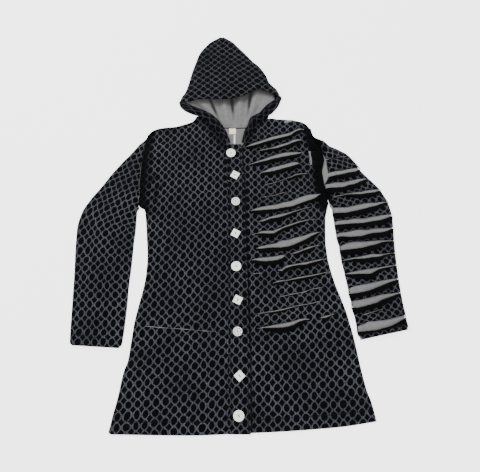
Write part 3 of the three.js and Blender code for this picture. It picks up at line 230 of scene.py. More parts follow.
# The slits of the left sleeve from the cuff up
SLEEVE_SLITS = slits(
    [(298, -335, 15), (314, -332, 20), (329, -328, 25), (344, -327, 24.5), (360, -324, 22), (376, -321, 20),
     (391, -316, 18), (407, -310, 14), (424, -303, 9)],
    [(310, -300, 0), (329, -295, 2.6), (345, -291, 2.8), (361, -286, 3), (371, -283, 0)],
    [(290, -272, 18), (303, -271, 21.5), (319, -268, 20.5), (335, -264, 20), (351, -260, 19.5),
     (367, -254, 15), (383, -250, 12), (399, -246, 7.5), (421, -240, 3.6)],
    [(284, -237, 15), (298, -234, 20.5), (314, -231, 21.5), (330, -228, 21), (346, -224, 19),
     (362, -219, 16.5), (378, -214, 13), (395, -209, 9.5), (420, -203, 4.6)],
    [(279, -190, 3.6), (294, -189, 8), (310, -187, 11), (326, -186, 14), (342, -185, 16), (352, -182, 13),
     (366, -177, 7), (382, -173, 5), (419, -166, 3.2)],
    [(273, -154, 4), (289, -151, 5), (305, -148, 6), (321, -147, 8.5), (337, -145, 10.5), (353, -142, 11.5),
     (370, -141, 9), (386, -137, 5), (418, -132, 2.6)],
    [(268, -120, 12), (283, -116, 19), (300, -113, 22), (316, -112, 21), (332, -111, 18.5), (348, -108, 15),
     (365, -105, 13), (381, -101, 8), (398, -99, 5), (418, -98, 4)],
    [(262, -83, 11), (278, -81, 14), (294, -81, 16.5), (310, -79, 20), (327, -78, 21), (343, -76, 15),
     (360, -72, 14.5), (376, -70, 15), (393, -68, 12), (418, -61, 5)],
    [(259, -48, 11), (280, -46, 14.5), (297, -45, 14), (313, -43, 17), (330, -43, 16.5), (346, -41, 15.5),
     (363, -37, 16), (380, -34, 16), (396, -30, 14), (419, -24, 7)],
    [(256, -10, 18), (274, -10, 19), (291, -10, 18.5), (308, -7, 18), (324, -4, 18.5), (341, 0, 18.5),
     (358, 4, 15.5), (375, 7, 12), (392, 12, 8), (410, 16, 3)],
    [(256, 30, 0), (268, 32, 3), (280, 34, 4), (303, 38, 6), (319, 39, 9), (336, 40, 10.5), (353, 44, 11.5),
     (370, 47, 12), (385, 50, 9), (396, 53, 3)],
    [(251, 64, 15), (271, 66, 19.5), (288, 66, 17.5), (305, 70, 15.5), (322, 74, 15.5), (340, 81, 10.5),
     (357, 86, 4), (364, 88, 0)],
    [(250, 98, 15), (273, 102, 16), (291, 104, 15), (308, 109, 14.5), (325, 113, 15), (338, 117, 11),
     (345, 119, 7)],
    [(249, 148, 2.4), (268, 150, 3), (285, 153, 4), (303, 156, 3.4), (316, 158, 0)],
)
NARROW_SLIT = 2.5  # a slit narrower than this has a plain cut edge; a wider one curls over
CURL_RADIUS = 1.3
CURL_SHARE = 0.85  # a curled edge's width as a share of its gap
WIDEST_CURL = {"front": 11.0, "sleeve": 15.0}
CURL_OF_STRIP = {"front": 0.45, "sleeve": 0.62}
STRIP_PUFF = {"front": 3.4, "sleeve": 2.6}
RIP_PUFF = 4.0
LIP_RISE = 0.35

LEFT_SLEEVE_OUTER = Table(
    "y x",
    (-336, 432), (-322, 430), (-260, 423), (-196, 419), (-129, 418), (-61, 420), (-26, 421), (-8, 418),
    (28, 410), (46, 402), (65, 384), (83, 370), (102, 356), (121, 342), (140, 329), (159, 317), (179, 292),
    (192, 263), (214, 240), (219, 224), (228, 212),
)
LEFT_SLEEVE_INNER = Table(
    "y x",
    (-362, 303), (-337, 298), (-306, 295), (-275, 289), (-244, 284), (-212, 281), (-179, 275), (-146, 270),
    (-113, 267), (-78, 261), (-43, 258), (-8, 255), (4, 247), (52, 241), (108, 231), (150, 227),
    (218, 213.5), (228, 211),
)
# Above the armpit the slashed sleeve starts at the armhole, and its seam has burst open between 60 and 155 mm
ARMHOLE = Table(
    "y x",
    (-3, 242), (4, 246.2), (30, 242), (61, 238.6), (68, 244), (76, 248.5), (90, 250), (114, 250.5),
    (140, 250), (155, 243.5), (175, 236.6), (188, 229.5), (200, 222), (212, 214.5), (218, 210.5),
    (228, 206.5),
)
LEFT_CUFF = (-362, -335)
# Rows of the sleeve's head above its highest slit: height on its inner and outer edge
LEFT_SLEEVE_HEAD = [(160, 170), (176, 183), (190, 194), (200, 203), (208, 211), (214, 218),
                    (218, 219.5), (221, 221.5), (223.5, 222.8), (226, 225)]

RIGHT_SLEEVE = Table(
    "step outer_x outer_y inner_x inner_y",
    (0, -273, 232, -282.6, 6), (1, -306, 180, -285, -20), (2, -338, 140, -285, -60),
    (3, -366, 102, -287, -100), (4, -390, 64, -288, -140), (5, -417, 26, -289, -175),
    (6, -438, -16, -291, -205), (7, -446, -62, -292, -235), (8, -444, -120, -292, -262),
    (9, -440, -180, -293, -290), (10, -437, -240, -294, -316), (11, -434, -310, -296, -347),
    (12, -431, -374, -299, -382),
)
SLEEVE_PUFF = 5.0
LINING_PUFF_SHARE = 0.85
PUFF_MARGIN = 14.0

HOOD_RIGHT_OUTLINE = [(-57, 582), (-76, 574), (-93, 563), (-113, 540), (-128, 516),
                      (-136, 490), (-148, 449), (-158, 405), (-166, 380), (-178, 356),
                      (-181, 342)]
HOOD_LEFT_OUTLINE = [(-57, 582), (-38, 574), (-21, 562), (-2, 540), (19, 516), (38, 492),
                     (60, 469), (80, 436), (91, 407), (112, 386), (124, 358)]
CROWN_TOP, CROWN_FOOT = (-57.0, 582.0), (-45.0, 337.0)
OPENING_RIGHT = Table("x y", (-181, 342), (-157, 336), (-125, 341), (-89, 339), (-45, 337))
OPENING_LEFT = Table(
    "x y",
    (-45, 337), (-5, 345), (19, 355), (39, 368), (57, 379), (76, 374), (92, 368), (104, 360), (124, 358),
)
CROWN_RISE = 20.0
EDGE_RIGHT = Table(
    "step inner_x inner_y foot_x foot_y foot crest",
    (0, -171, 339.5, -183.5, 342, 0, 12.5), (1, -160, 333, -180, 330, 0, 15),
    (2, -131, 320, -166, 314, 0, 16), (3, -101, 306, -136, 298, 2, 17), (4, -80, 292, -106, 285, 7.3, 18),
    (5, -65, 277, -90, 266, 7.3, 18), (6, -51, 257, -74, 246, 7.3, 17), (7, -42, 240, -62, 230, 7.3, 16),
    (8, -35, 224, -53, 214, 7.3, 14), (9, -28, 200, -42, 198.5, 7.3, 12),
)
EDGE_LEFT = Table(
    "step inner_x inner_y foot_x foot_y foot crest",
    (0, 112, 357.5, 126.5, 358, 0, 12.5), (1, 103, 346, 122, 346, 0, 15), (2, 90, 336, 114, 328, 0, 16),
    (3, 72, 319, 96, 304, 2, 17), (4, 60, 303, 84, 292, 7.3, 18), (5, 46, 294, 68, 279, 7.3, 18),
    (6, 31, 283, 52, 268, 7.3, 17), (7, 22, 257, 38, 247, 7.3, 16), (8, 12, 236, 29, 229, 7.3, 14),
    (9, 5, 200, 16, 198.5, 7.3, 12),
)
EDGE_LIP = 12.0
HOOD_LINING = Table(
    "y right left sides",
    (250.5, -57, 29, 3.1), (262, -62, 33, 5), (280, -76, 40, 7), (296, -94, 58, 8), (310, -117, 70, 8),
    (326, -150, 86, 7.5), (345, -164, 104, 5), (372, -154, 104, 3.1), (410, -140, 76, 3.1),
    (450, -130, 56, 3.1),
)
NECKLINE = Table(
    "x y", (-112, 264), (-100, 258), (-60, 252), (-12, 250), (40, 254), (74, 262), (82, 270)
)
NECKLINE_LOW = 250.0
HOOD_BACK_EDGES = Table(
    "y right left",
    (250, -60, 30), (264, -110, 74), (290, -118, 84), (314, -149, 90), (336, -170, 104), (358, -171, 117),
    (386, -158, 104), (407, -151.5, 85), (449, -142, 65), (490, -130, 33), (516, -122, 14), (540, -108, -7),
    (563, -88, -25), (576, -57.5, -56.5),
)

# Soft folds and creases: where each runs, how far it reaches to its sides and how high it stands.
# A negative height is a trough.
FOLD = "x1 y1 x2 y2 reach height"
PLAIN_FOLDS = Table(
    FOLD,
    (-262, 205, -262, 40, 16, 5), (-245, -5, -150, 60, 26, 4), (-150, 190, -120, -120, 45, 3),
    (-225, -60, -120, -110, 24, 3), (-205, -350, -238, -575, 30, 5), (-110, -330, -125, -578, 34, 4),
    (-268, 20, -232, 92, 12, -2.2), (-262, 2, -214, 36, 10, -1.8), (-240, 128, -226, 196, 13, 2),
    (-190, -20, -98, 22, 17, 1.6), (-160, -210, -92, -188, 15, 1.4), (-232, -150, -186, -214, 14, -1.4),
    (-172, -372, -188, -548, 15, -2.2), (-70, -400, -76, -540, 16, -1.6), (-96, 120, -82, 20, 18, 1.4),
    (-258, -330, -270, -480, 13, 1.8),
)
SLASHED_FOLDS = Table(
    FOLD,
    (197, 240, 214, 90, 15, 7), (160, -340, 176, -560, 20, 5), (100, -330, 96, -570, 30, 3),
    (245, -330, 282, -548, 26, 5), (203, 100, 226, 30, 10, -2.4), (132, -352, 140, -520, 13, -2.2),
    (206, -352, 226, -546, 14, -2.6), (60, -372, 62, -500, 14, 1.4), (270, -360, 300, -500, 12, 1.8),
)
RIGHT_SLEEVE_FOLDS = Table(
    FOLD,
    (-300, 150, -298, -10, 18, 5), (-330, 90, -305, -110, 20, 4), (-420, -30, -330, -110, 22, 4),
    (-425, -190, -330, -230, 20, 3), (-346, 100, -300, 60, 12, -2), (-392, 20, -322, -40, 14, -2.2),
    (-428, -90, -352, -128, 12, 1.8), (-410, -268, -330, -282, 15, 1.6), (-420, -320, -350, -332, 12, -1.4),
)
LINING_FOLDS = Table(
    FOLD,
    (-66, 262, -112, 340, 20, 9), (-34, 254, -54, 370, 17, 12), (-2, 254, -2, 375, 18, 12),
    (24, 264, 50, 380, 20, 11),
)
CROWN_FOLDS = Table(
    FOLD,
    (-150, 352, -118, 470, 14, 2.2), (-96, 344, -84, 470, 15, -2), (-20, 352, -30, 480, 15, 2),
    (26, 372, 6, 482, 14, -2.2), (76, 384, 40, 470, 13, 1.8), (-118, 520, -70, 560, 10, -1.4),
    (-10, 540, -44, 566, 10, 1.2),
)
UNDER_FOLDS = Table(
    FOLD,
    (-210, -40, -60, -120, 26, 0.9), (-180, -340, -206, -560, 24, 1.0), (30, -300, 44, -560, 30, 0.9),
    (176, -240, 214, -540, 22, 1.0), (-150, 60, 40, 20, 24, 0.8), (60, 120, 190, 80, 22, 0.9),
    (-400, -60, -320, -140, 22, 0.8), (-410, -260, -330, -300, 20, 0.8), (300, -60, 400, -90, 20, 0.8),
    (310, -240, 410, -250, 20, 0.8), (-120, 400, 40, 440, 26, 0.8), (-90, 500, 10, 520, 20, 0.8),
)
FOLD_END = 0.35


def along_segment(x, y, x1, y1, x2, y2):
    """How far along a straight line each place lies, from 0 to 1, and how far from the line."""
    way_x, way_y = x2 - x1, y2 - y1
    t = np.clip(((x - x1) * way_x + (y - y1) * way_y) / (way_x**2 + way_y**2), 0, 1)
    return t, np.hypot(x - x1 - way_x * t, y - y1 - way_y * t)


def fold_height(folds, x, y):
    """Height that a table of folds adds at each place. A fold is full in its middle and fades at its ends."""
    total = np.zeros(np.broadcast(x, y).shape)
    for x1, y1, x2, y2, reach, height in folds.rows():
        t, off = along_segment(x, y, x1, y1, x2, y2)
        total += height * (FOLD_END + (1 - FOLD_END) * np.sin(np.pi * t)) * bump_at(off, 0, reach)
    return total


def walked_along(points):
    """Distance along a line of points, from its start to each of them."""
    return np.concatenate([[0], np.cumsum(np.linalg.norm(np.diff(points, axis=0), axis=1))])


def directions(x, y):
    way = np.stack([np.gradient(x), np.gradient(y)], -1)
    return way / np.linalg.norm(way, axis=1, keepdims=True)


def along_outline(outline, rows):
    points = np.array(outline, float)
    walked = walked_along(points)
    at = walked[-1] * rows
    return read_line(walked, points[:, 0], at), read_line(walked, points[:, 1], at), walked[-1]


# Cloth made from rows of points

WELD = 50  # points closer than 1/50 mm are one
RESTING = 0.01  # a point under this height lies on the surface
NO_STITCH = -100.0
OUTSIDE, INSIDE, RIM = range(3)


def grid_quads(ids):
    corners = [ids[:-1, :-1], ids[:-1, 1:], ids[1:, 1:], ids[1:, :-1]]
    return np.stack(corners, -1).reshape(-1, 4)


class Cloth:
    """One cut piece of cloth: a closed thin shell on rows of points of its outer face.

    cut holds each point's place on the cloth before it was sewn, for the print. stitch holds its distance from
    the nearest line of stitching. The next mark is painted shade in folds, creases and shadows, and on the hood
    a
    fainter print: at 1 the print is gone and the cloth is darkest. even is 1 where the print's cells are more
    alike.
    A cell that is opened stays out. facing is -1 for a face that looks down.
    """

    def __init__(self, name, face, thickness, cut=None, opened=None, stitch=None, plain=None, facing=1, even=0):
        self.face = face
        spot_count = face.shape[0] * face.shape[1]
        cut = (face[..., :2] if cut is None else cut).reshape(-1, 2)
        marks = {
            "stitch": np.full(spot_count, NO_STITCH) if stitch is None else stitch.reshape(-1),
            "plain": np.zeros(spot_count) if plain is None else plain.reshape(-1),
            "even": np.full(spot_count, float(even)),
        }
        points, faces, spots = self.welded(opened)
        normals = self.normals(points, faces)
        if normals[:, 2].sum() * facing < 0:
            faces, spots = [f[::-1] for f in faces], [s[::-1] for s in spots]
            normals = -normals
        if facing > 0:
            normals[points[:, 2] < RESTING, 2] = 0
        lengths = np.linalg.norm(normals, axis=1, keepdims=True)
        inner = points - normals / np.where(lengths > 0, lengths, 1) * thickness
        inner[:, 2] = np.maximum(inner[:, 2], 0)
        faces, spots, slots = self.closed(faces, spots, len(points))
        used = sorted({v for f in faces for v in f})
        kept = {v: i for i, v in enumerate(used)}
        both = np.concatenate([points, inner])[used]
        mesh = bpy.data.meshes.new(name)
        mesh.from_pydata(((both + TABLE_TO_ROW) * MM).tolist(), [], [[kept[v] for v in f] for f in faces])
        flat = [c for own in spots for c in own]
        layer = mesh.uv_layers.new(name="cut")
        layer.data.foreach_set("uv", (cut[flat] * MM).astype(np.float32).ravel())
        for mark, values in marks.items():
            layer = mesh.attributes.new(mark, "FLOAT", "CORNER")
            layer.data.foreach_set("value", values[flat].astype(np.float32))
        mesh.polygons.foreach_set("material_index", slots)
        mesh.polygons.foreach_set("use_smooth", [True] * len(faces))
        mesh.update()
        self.object = bpy.data.objects.new(name, mesh)
        bpy.context.scene.collection.objects.link(self.object)

    def welded(self, opened):
        """The points of the outer face, its faces, and the spot in the rows that each corner stands for."""
        places = np.round(self.face.reshape(-1, 3) * WELD).astype(np.int64)
        _, first, point_of = np.unique(places, axis=0, return_index=True, return_inverse=True)
        point_of = point_of.reshape(-1)
        corners = grid_quads(np.arange(len(places)).reshape(self.face.shape[:2]))
        if opened is not None:
            corners = corners[~opened.reshape(-1)]
        faces, spots = [], []
        for corner in corners.tolist():
            ring = {}
            for c in corner:
                ring.setdefault(int(point_of[c]), c)
            if len(ring) >= 3:
                faces.append(list(ring))
                spots.append(list(ring.values()))
        return self.face.reshape(-1, 3)[first], faces, spots

    @staticmethod
    def closed(faces, spots, count):
        """Adds the inner face, whose points follow the outer ones, and a rim on every free edge."""
        edges = {}
        for face, own in zip(faces, spots):
            for i, a in enumerate(face):
                after = (i + 1) % len(face)
                edges[(a, face[after])] = (own[i], own[after])
        inner = [[v + count for v in f[::-1]] for f in faces]
        rim = [(ends, own) for ends, own in edges.items() if ends[::-1] not in edges]
        slots = [OUTSIDE] * len(faces) + [INSIDE] * len(faces) + [RIM] * len(rim)
        rim_faces = [[b, a, a + count, b + count] for (a, b), _ in rim]
        rim_spots = [[sb, sa, sa, sb] for _, (sa, sb) in rim]
        return faces + inner + rim_faces, spots + [s[::-1] for s in spots] + rim_spots, slots

    @staticmethod
    def normals(points, faces):
        normals = np.zeros_like(points)
        quads = np.array([f if len(f) == 4 else [*f, f[2]] for f in faces])
        across = points[quads[:, 2]] - points[quads[:, 0]]
        along = points[quads[:, 3]] - points[quads[:, 1]]
        cross = np.cross(across, along)
        for i in range(4):
            np.add.at(normals, quads[:, i], cross)
        return normals

    def dress(self, look, node, flat, area, rests_on):
        """Gives the cloth its materials, hangs it on the root and hides the CAD node that it stands for."""
        *materials, slot = look
        for material in materials:
            self.object.data.materials.append(material)
        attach(self.object, "root")
        if node:
            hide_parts(node)


ROLL_STEPS = 7
ON_TOP = 0.98  # columns whose height share is over this lie past the rolled edges


class Columns:
    """Places across a piece: those of a rolled edge stand close together, the rest evenly."""

    def __init__(self, count, rolls_at_start, rolls_at_end):
        turn = np.linspace(0, np.pi / 2, ROLL_STEPS)
        inside = np.arange(1, count) / count
        start = 1 - np.cos(turn) if rolls_at_start else np.zeros(1)
        end = 1 - np.cos(turn[::-1]) if rolls_at_end else np.zeros(1)
        none = np.zeros(len(inside))
        self.start = np.concatenate([start, none, np.zeros(len(end))])
        self.end = np.concatenate([np.zeros(len(start)), none, end])
        self.share = np.concatenate([np.zeros(len(start)), inside, np.ones(len(end))])
        rise_start = np.sin(turn) if rolls_at_start else np.ones(1)
        rise_end = np.sin(turn[::-1]) if rolls_at_end else np.ones(1)
        self.up = np.concatenate([rise_start, none + 1, rise_end])

    def placed(self, from_x, to_x, radius, start_slant=1.0, end_slant=1.0):
        """Where the columns lie between two ends. A slant over 1 widens a roll that its row meets askew."""
        sign, room = math.copysign(1, to_x - from_x), abs(to_x - from_x)
        start_roll = min(radius * start_slant, room / 3)
        end_roll = min(radius * end_slant, room / 3)
        first, last = from_x + sign * start_roll, to_x - sign * end_roll
        middle = mix(first, last, self.share)
        in_start = sign * start_roll * (1 - self.start) * (self.share == 0)
        in_end = sign * end_roll * (1 - self.end) * (self.share == 1)
        return middle - in_start + in_end


WIDEST_SLANT = 2.5


def slant_at(edge, y, slope):
    lean = float(edge.at("x", y + 3) - edge.at("x", y - 3)) / 6
    return min(WIDEST_SLANT, math.hypot(1, lean) / max(0.1, abs(1 - slope * lean)))


def meeting(row, edge, guess):
    """Where a row, given as y over x, meets an edge, given as x over y."""
    y = guess
    for _ in range(20):
        y = mix(y, float(row(edge.at("x", y))), 0.6)
    return float(edge.at("x", y)), y


def span_between(row, start_edge, end_edge, guess):
    """Where a row meets its two edges, and how much its rolls widen there."""
    start_x, start_y = meeting(row, start_edge, guess)
    end_x, end_y = meeting(row, end_edge, guess)
    slope = (end_y - start_y) / (end_x - start_x)
    return (start_x, end_x), (slant_at(start_edge, start_y, slope), slant_at(end_edge, end_y, slope))


def side_share(up, y, armpit):
    """Height share at a rolled side: full above the armpit, where the sleeve is sewn on."""
    return mix(up, 1, smooth((y - armpit + 6) / 12))


def shoulder_share(x, neck_side, angle):
    outside = math.copysign(1, neck_side) * (x - neck_side)
    return mix(1, math.sin(angle), smooth((outside + NECK_BLEND) / NECK_BLEND))


SHOULDER_ROLL = np.linspace(np.pi / 2, 0, ROLL_STEPS)
HEM_MIDDLE = -581.0
FLARE, FLARE_TOP, FLARE_HEIGHT = 0.06, 150, 600
HEM_FOLLOWED = 0.9


def print_place(x, y):
    """Place on the printed cloth: its rows follow the hem and its columns flare a little with the skirt."""
    hem = HEM.at("y", x) - HEM_MIDDLE
    low = smooth((FLARE_TOP - y) / FLARE_HEIGHT)
    return np.stack([x * (1 - FLARE * low), y - hem * low * HEM_FOLLOWED], -1)


def hem_stitch(x, y):
    return y - HEM.at("y", x) - HEM_STITCH


# How high the cloth stands over the layers under it, and how far from its sides and hem it is that full
FULLNESS, FULL_FROM_SIDE, FULL_FROM_HEM = 2.4, 34, 26


def fullness(from_start, from_end, from_hem):
    sides = FULLNESS * smooth(from_start / FULL_FROM_SIDE) * smooth(from_end / FULL_FROM_SIDE)
    return sides * smooth(from_hem / FULL_FROM_HEM)


HEM_ROLL = 5.0
HEM_ROWS = (0, 0.4, 1.1, 2.2, 3.8, 6)  # rows close above the hem, where the cloth rolls


def hem_share(x, y):
    """Height share near the hem, where the cloth rolls down to the surface."""
    up = np.clip((y - HEM.at("y", x)) / HEM_ROLL, 0, 1)
    return mix(0.3, 1, np.sqrt(1 - (1 - up) ** 2))


def corner_lift(x, from_x, to_x, reach):
    """How far a worn corner lies back from the straight edge."""
    from_corner = np.minimum(np.abs(x - from_x), np.abs(to_x - x))
    return reach * 0.8 * np.clip(1 - from_corner / reach, 0, 1) ** 2


def near_line(x, y, line, reach):
    """1 on a line given as corner points, falling to 0 at reach."""
    nearest = np.full(np.broadcast(x, y).shape, 1e9)
    for (x1, y1), (x2, y2) in zip(line[:-1], line[1:]):
        nearest = np.minimum(nearest, along_segment(x, y, x1, y1, x2, y2)[1])
    return bump_at(nearest, 0, reach)


# Painted shade: the print fades to black in the folds along the armholes, in streaks on the right front and
# below the neck
RIGHT_ARMHOLE_SHADE = [(-268, 222), (-277, 163), (-279, 108), (-280, 52), (-276, 14), (-266, -10)]
RIGHT_SHADE_STREAKS = [
    [(-276, 60), (-236, 96)], [(-276, 34), (-222, 62)], [(-268, 10), (-232, 34)], [(-274, 120), (-252, 150)],
]
LEFT_ARMHOLE_SHADE = [(210, 244), (214, 205), (224, 165), (229, 120), (234, 50), (238, 10)]
ARMHOLE_SHADE_REACH = 39
UNDER_BAND = 500  # stands for the corner under the band, which isn't worn
PLAIN_TILT = 0.13  # the plain front is cut a little off the grain, so its rows of print slope
RIGHT_NECK_SHADE = [(-124, 284), (-100, 272), (-83, 252), (-60, 216), (-42, 184)]
LEFT_NECK_SHADE = [(60, 282), (40, 262), (27, 235), (20, 200)]


def shaded(tuck, x, y, shades):
    """Painted shade with more lines of painted shade, each with its reach and its strength."""
    for line, reach, strength in shades:
        tuck = np.maximum(tuck, near_line(x, y, line, reach) * strength)
    return tuck


def plan(face):
    return face[..., 0], face[..., 1]


def plain_front():
    columns = Columns(84, True, False)
    levels = np.concatenate([np.array(HEM_ROWS) / 770, np.linspace(0.012, 1, 188)])
    rows = [(level, 0.0, np.pi / 2) for level in levels]
    rows += [(1.0, PLAIN_TOP * (1 - math.cos(a)), a) for a in SHOULDER_ROLL[1:]]
    face = []
    for level, drop, angle in rows:
        side_y = mix(RIGHT_SIDE.y[0], RIGHT_SIDE.y[-1], level) - drop * 0.6
        start_x = float(RIGHT_SIDE.at("x", side_y))
        end_x = float(BAND_EDGES.at("seam", mix(HEM.y[1], 188, level))) + BAND_LAP
        x = columns.placed(start_x, end_x, PLAIN_TOP, slant_at(RIGHT_SIDE, side_y, 0))
        y = mix(HEM.at("y", x), RIGHT_TOP.at("y", x), level) - drop
        share = np.minimum(side_share(columns.up, side_y, ARMPIT), shoulder_share(x, RIGHT_NECK_SIDE, angle))
        below_top = smooth(0.0 if drop else (1 - level) * 12)
        from_hem = y - HEM.at("y", x)
        fade = smooth((x - start_x) / 40) * smooth((end_x - x) / 60) * below_top
        hem_roll = 0.75 * bump_at(from_hem, 0, 5) - 0.5 * bump_at(hem_stitch(x, y), 0, 4)
        full = fullness(x - start_x, end_x - x, from_hem) * below_top
        lift = np.maximum(full + (fold_height(PLAIN_FOLDS, x, y) + hem_roll) * fade, 0)
        y = y + corner_lift(x, start_x, UNDER_BAND, 8) * max(0.0, 1 - level * 40)
        face.append(np.stack([x, y, (PLAIN_TOP * share + lift) * hem_share(x, y)], -1))
    face = np.array(face)
    x, y = plan(face)
    # Painted shade in the fold along the right armhole, in its streaks and below the neck
    tuck = np.minimum(near_line(x, y, RIGHT_ARMHOLE_SHADE, 34) * 1.25, 0.95)
    tuck = shaded(tuck, x, y, [(streak, 12, 0.75) for streak in RIGHT_SHADE_STREAKS] + [(RIGHT_NECK_SHADE, 30, 0.7)])
    cut = print_place(x, y)
    cut[..., 1] -= PLAIN_TILT * x
    return Cloth("front_right_cloth", face, BONDED_SHELL, cut, stitch=hem_stitch(x, y), plain=tuck)


def slit_row(slit):
    """A row that runs along a slit, and past its ends on nearly the same slope."""
    slope = (slit.y[-1] - slit.y[0]) / (slit.x[-1] - slit.x[0]) * 0.6

    def row(x):
        past = np.minimum(x - slit.x[0], 0) + np.maximum(x - slit.x[-1], 0)
        return slit.at("y", x) + slope * past

    return row


def gap_along(slit, x):
    gap = np.maximum(slit.at("gap", x), 0)
    return np.where(gap > 0.25, gap, 0)


ACROSS_GAP = (-1.3, -0.9, -0.45, 0.0, 0.45, 0.9, 1.3)
LINING_SWELL = 2.1


def no_swell(x):
    return 0 * x


def rows_through(slits, below, above, between):
    """Rows that follow every slit across its gap, with more between, and how far the lining swells at each."""

    def shifted(slit, share):
        line = slit_row(slit)
        return lambda x: line(x) + (gap_along(slit, x) / 2 + 0.5) * share

    def swell(slit, share):
        return lambda x: LINING_SWELL * smooth(gap_along(slit, x) / 2.6) * max(0.0, 1 - (share / 1.1) ** 2)

    def blended(low, high, t):
        return lambda x: mix(low(x), high(x), t)

    rows, low = [], below
    for slit in slits:
        high = shifted(slit, ACROSS_GAP[0])
        rows += [(blended(low, high, i / between), no_swell) for i in range(between)]
        rows += [(shifted(slit, share), swell(slit, share)) for share in ACROSS_GAP]
        low = rows[-1][0]
    return rows + [(blended(low, above, i / between), no_swell) for i in range(1, between + 1)]


class Ripped:
    """A panel cut by slits, built as rows from its lower edge up.

    The edge below a wide slit curls over and shows its plain reverse. Each strip between slits stands up a
    little.
    """

    STRIP_ROWS = 7
    ROLL = np.linspace(-np.pi / 2, np.pi / 2, 6)[1:]
    FLAP = (0.4, 0.8, 1.0)

    def __init__(self, kind, columns, start_edge, end_edge, base, share, folds, covered, puff_at):
        self.kind, self.columns, self.start_edge, self.end_edge = kind, columns, start_edge, end_edge
        self.base, self.share, self.folds, self.covered, self.puff_at = base, share, folds, covered, puff_at
        self.points, self.cut, self.open_after = [], [], []

    def lay(self, row, guess):
        span, slants = span_between(row, self.start_edge, self.end_edge, guess)
        x = self.columns.placed(*span, self.base, *slants)
        return x, row(x), span

    def height(self, x, y, span, standing):
        """Height of the cloth where a strip stands up by so much."""
        free = smooth((x - span[0] - self.covered) / 20)
        fold = fold_height(self.folds, x, y) * smooth((span[1] - x) / 40) if self.folds else 0
        up = self.share(self.columns.up, x, y, span)
        lift = np.maximum((standing + fold) * free, 0) + self.puff_at(x, y)
        return self.base * up + np.where(self.columns.up > ON_TOP, lift, 0)

    def add(self, x, y, z, cut_x, cut_y, opened=False):
        self.points.append(np.stack([x, y, z], -1))
        self.cut.append(np.stack([cut_x, cut_y], -1))
        self.open_after.append(opened)

    def plain_rows(self, rows, guess):
        """Rows of uncut cloth, each given as y over x."""
        for row in rows:
            x, y, span = self.lay(row, guess)
            full = 0
            if self.folds:
                full = fullness(x - span[0] - self.covered, span[1] - x, y - HEM.at("y", x))
            self.add(x, y, self.height(x, y, span, full), x, y)

    def strips(self, slits, below, above):
        """Strips between slits, the first of them from the row below and the last up to the row above."""
        low = self.lay(below, float(below(0.0)))
        lower = {"x": low[0], "y": low[1], "gap": np.zeros(len(low[0])), "mid": low[1]}
        for number, slit in enumerate([*slits, None]):
            row = above if slit is None else slit_row(slit)
            middle = (self.start_edge.x[0] + self.end_edge.x[0]) / 2
            x, mid, span = self.lay(row, float(row(middle)))
            gap = np.zeros(len(x)) if slit is None else gap_along(slit, x)
            ragged = 0.35 * np.sin(x * 0.9 + number * 2) + 0.3 * np.sin(x * 0.41 + number)
            lip = np.minimum(gap * 0.5, gap * 0.5 + ragged * smooth(gap / 8))
            upper = {"x": x, "y": mid - lip, "gap": gap, "mid": mid}
            self.strip(lower, upper, span, first=number == 0, last=slit is None)
            lower = {"x": x, "y": mid + gap * 0.5, "gap": gap, "mid": mid}

    def strip(self, lower, upper, span, first, last):
        depth = upper["y"] - lower["y"]
        puff = STRIP_PUFF[self.kind] * mix(0.35, 1, smooth(np.maximum(lower["gap"], upper["gap"]) / 10))
        lower_lift = np.minimum(1.2, lower["gap"] * 0.1)
        upper_lift = np.minimum(RIP_PUFF, upper["gap"] * LIP_RISE) * 0.75
        if first and self.folds:
            lower_lift = lower_lift + FULLNESS * smooth((span[1] - lower["x"]) / FULL_FROM_SIDE)

        def standing(s):
            middle = puff * np.sin(np.pi * np.clip(s, 0, 1)) ** 0.9
            return lower_lift * (1 - s) ** 2 + upper_lift * s**2 + middle

        steps = np.arange(self.STRIP_ROWS + 1) / self.STRIP_ROWS
        for i, s in enumerate(steps[1:] if first else steps):
            x, y = mix(lower["x"], upper["x"], s), mix(lower["y"], upper["y"], s)
            z = self.height(x, y, span, standing(s))
            self.add(x, y, z, x, mix(lower["mid"], upper["mid"], s))
        if last:
            return
        gap = upper["gap"]
        curl = smooth((gap - NARROW_SLIT) / 4) * smooth((self.columns.up - 0.5) * 2)
        width = np.minimum(gap * CURL_SHARE + 1.5, WIDEST_CURL[self.kind])
        width = np.minimum(width, np.maximum(depth, 0) * CURL_OF_STRIP[self.kind]) * curl
        width = width * (1 + 0.06 * np.sin(upper["x"] * 0.23) + 0.05 * np.sin(upper["x"] * 0.61))
        radius = CURL_RADIUS * curl
        lip_z = self.height(upper["x"], upper["y"], span, standing(1.0))
        for a in self.ROLL:
            y = upper["y"] - radius + radius * math.cos(a)
            self.add(upper["x"], y, lip_z + radius * (1 + math.sin(a)), upper["x"], upper["mid"])
        for k in self.FLAP:
            y = upper["y"] - radius - width * k
            s = np.clip((y - lower["y"]) / np.maximum(depth, 1), 0, 1)
            under = self.height(upper["x"], y, span, standing(s))
            z = np.where(curl > 0, under + radius * mix(2, 1.25, k**2) + 0.15 * curl, lip_z)
            self.add(upper["x"], np.where(curl > 0, y, upper["y"]), z, upper["x"], upper["mid"])
        self.open_after[-1] = True

    def opened(self, whole):
        """Cells that a slit leaves open, apart from the columns that stay whole."""
        return np.array(self.open_after[:-1])[:, None] & ~whole


SKIRT_FROM = 9.0


def skirt_row(t):
    """Rows of the skirt turn from the hem's own curve to the slope of the slits."""
    return lambda x: mix(HEM.at("y", x) + SKIRT_FROM, mix(-370, -345, x / 240), t)


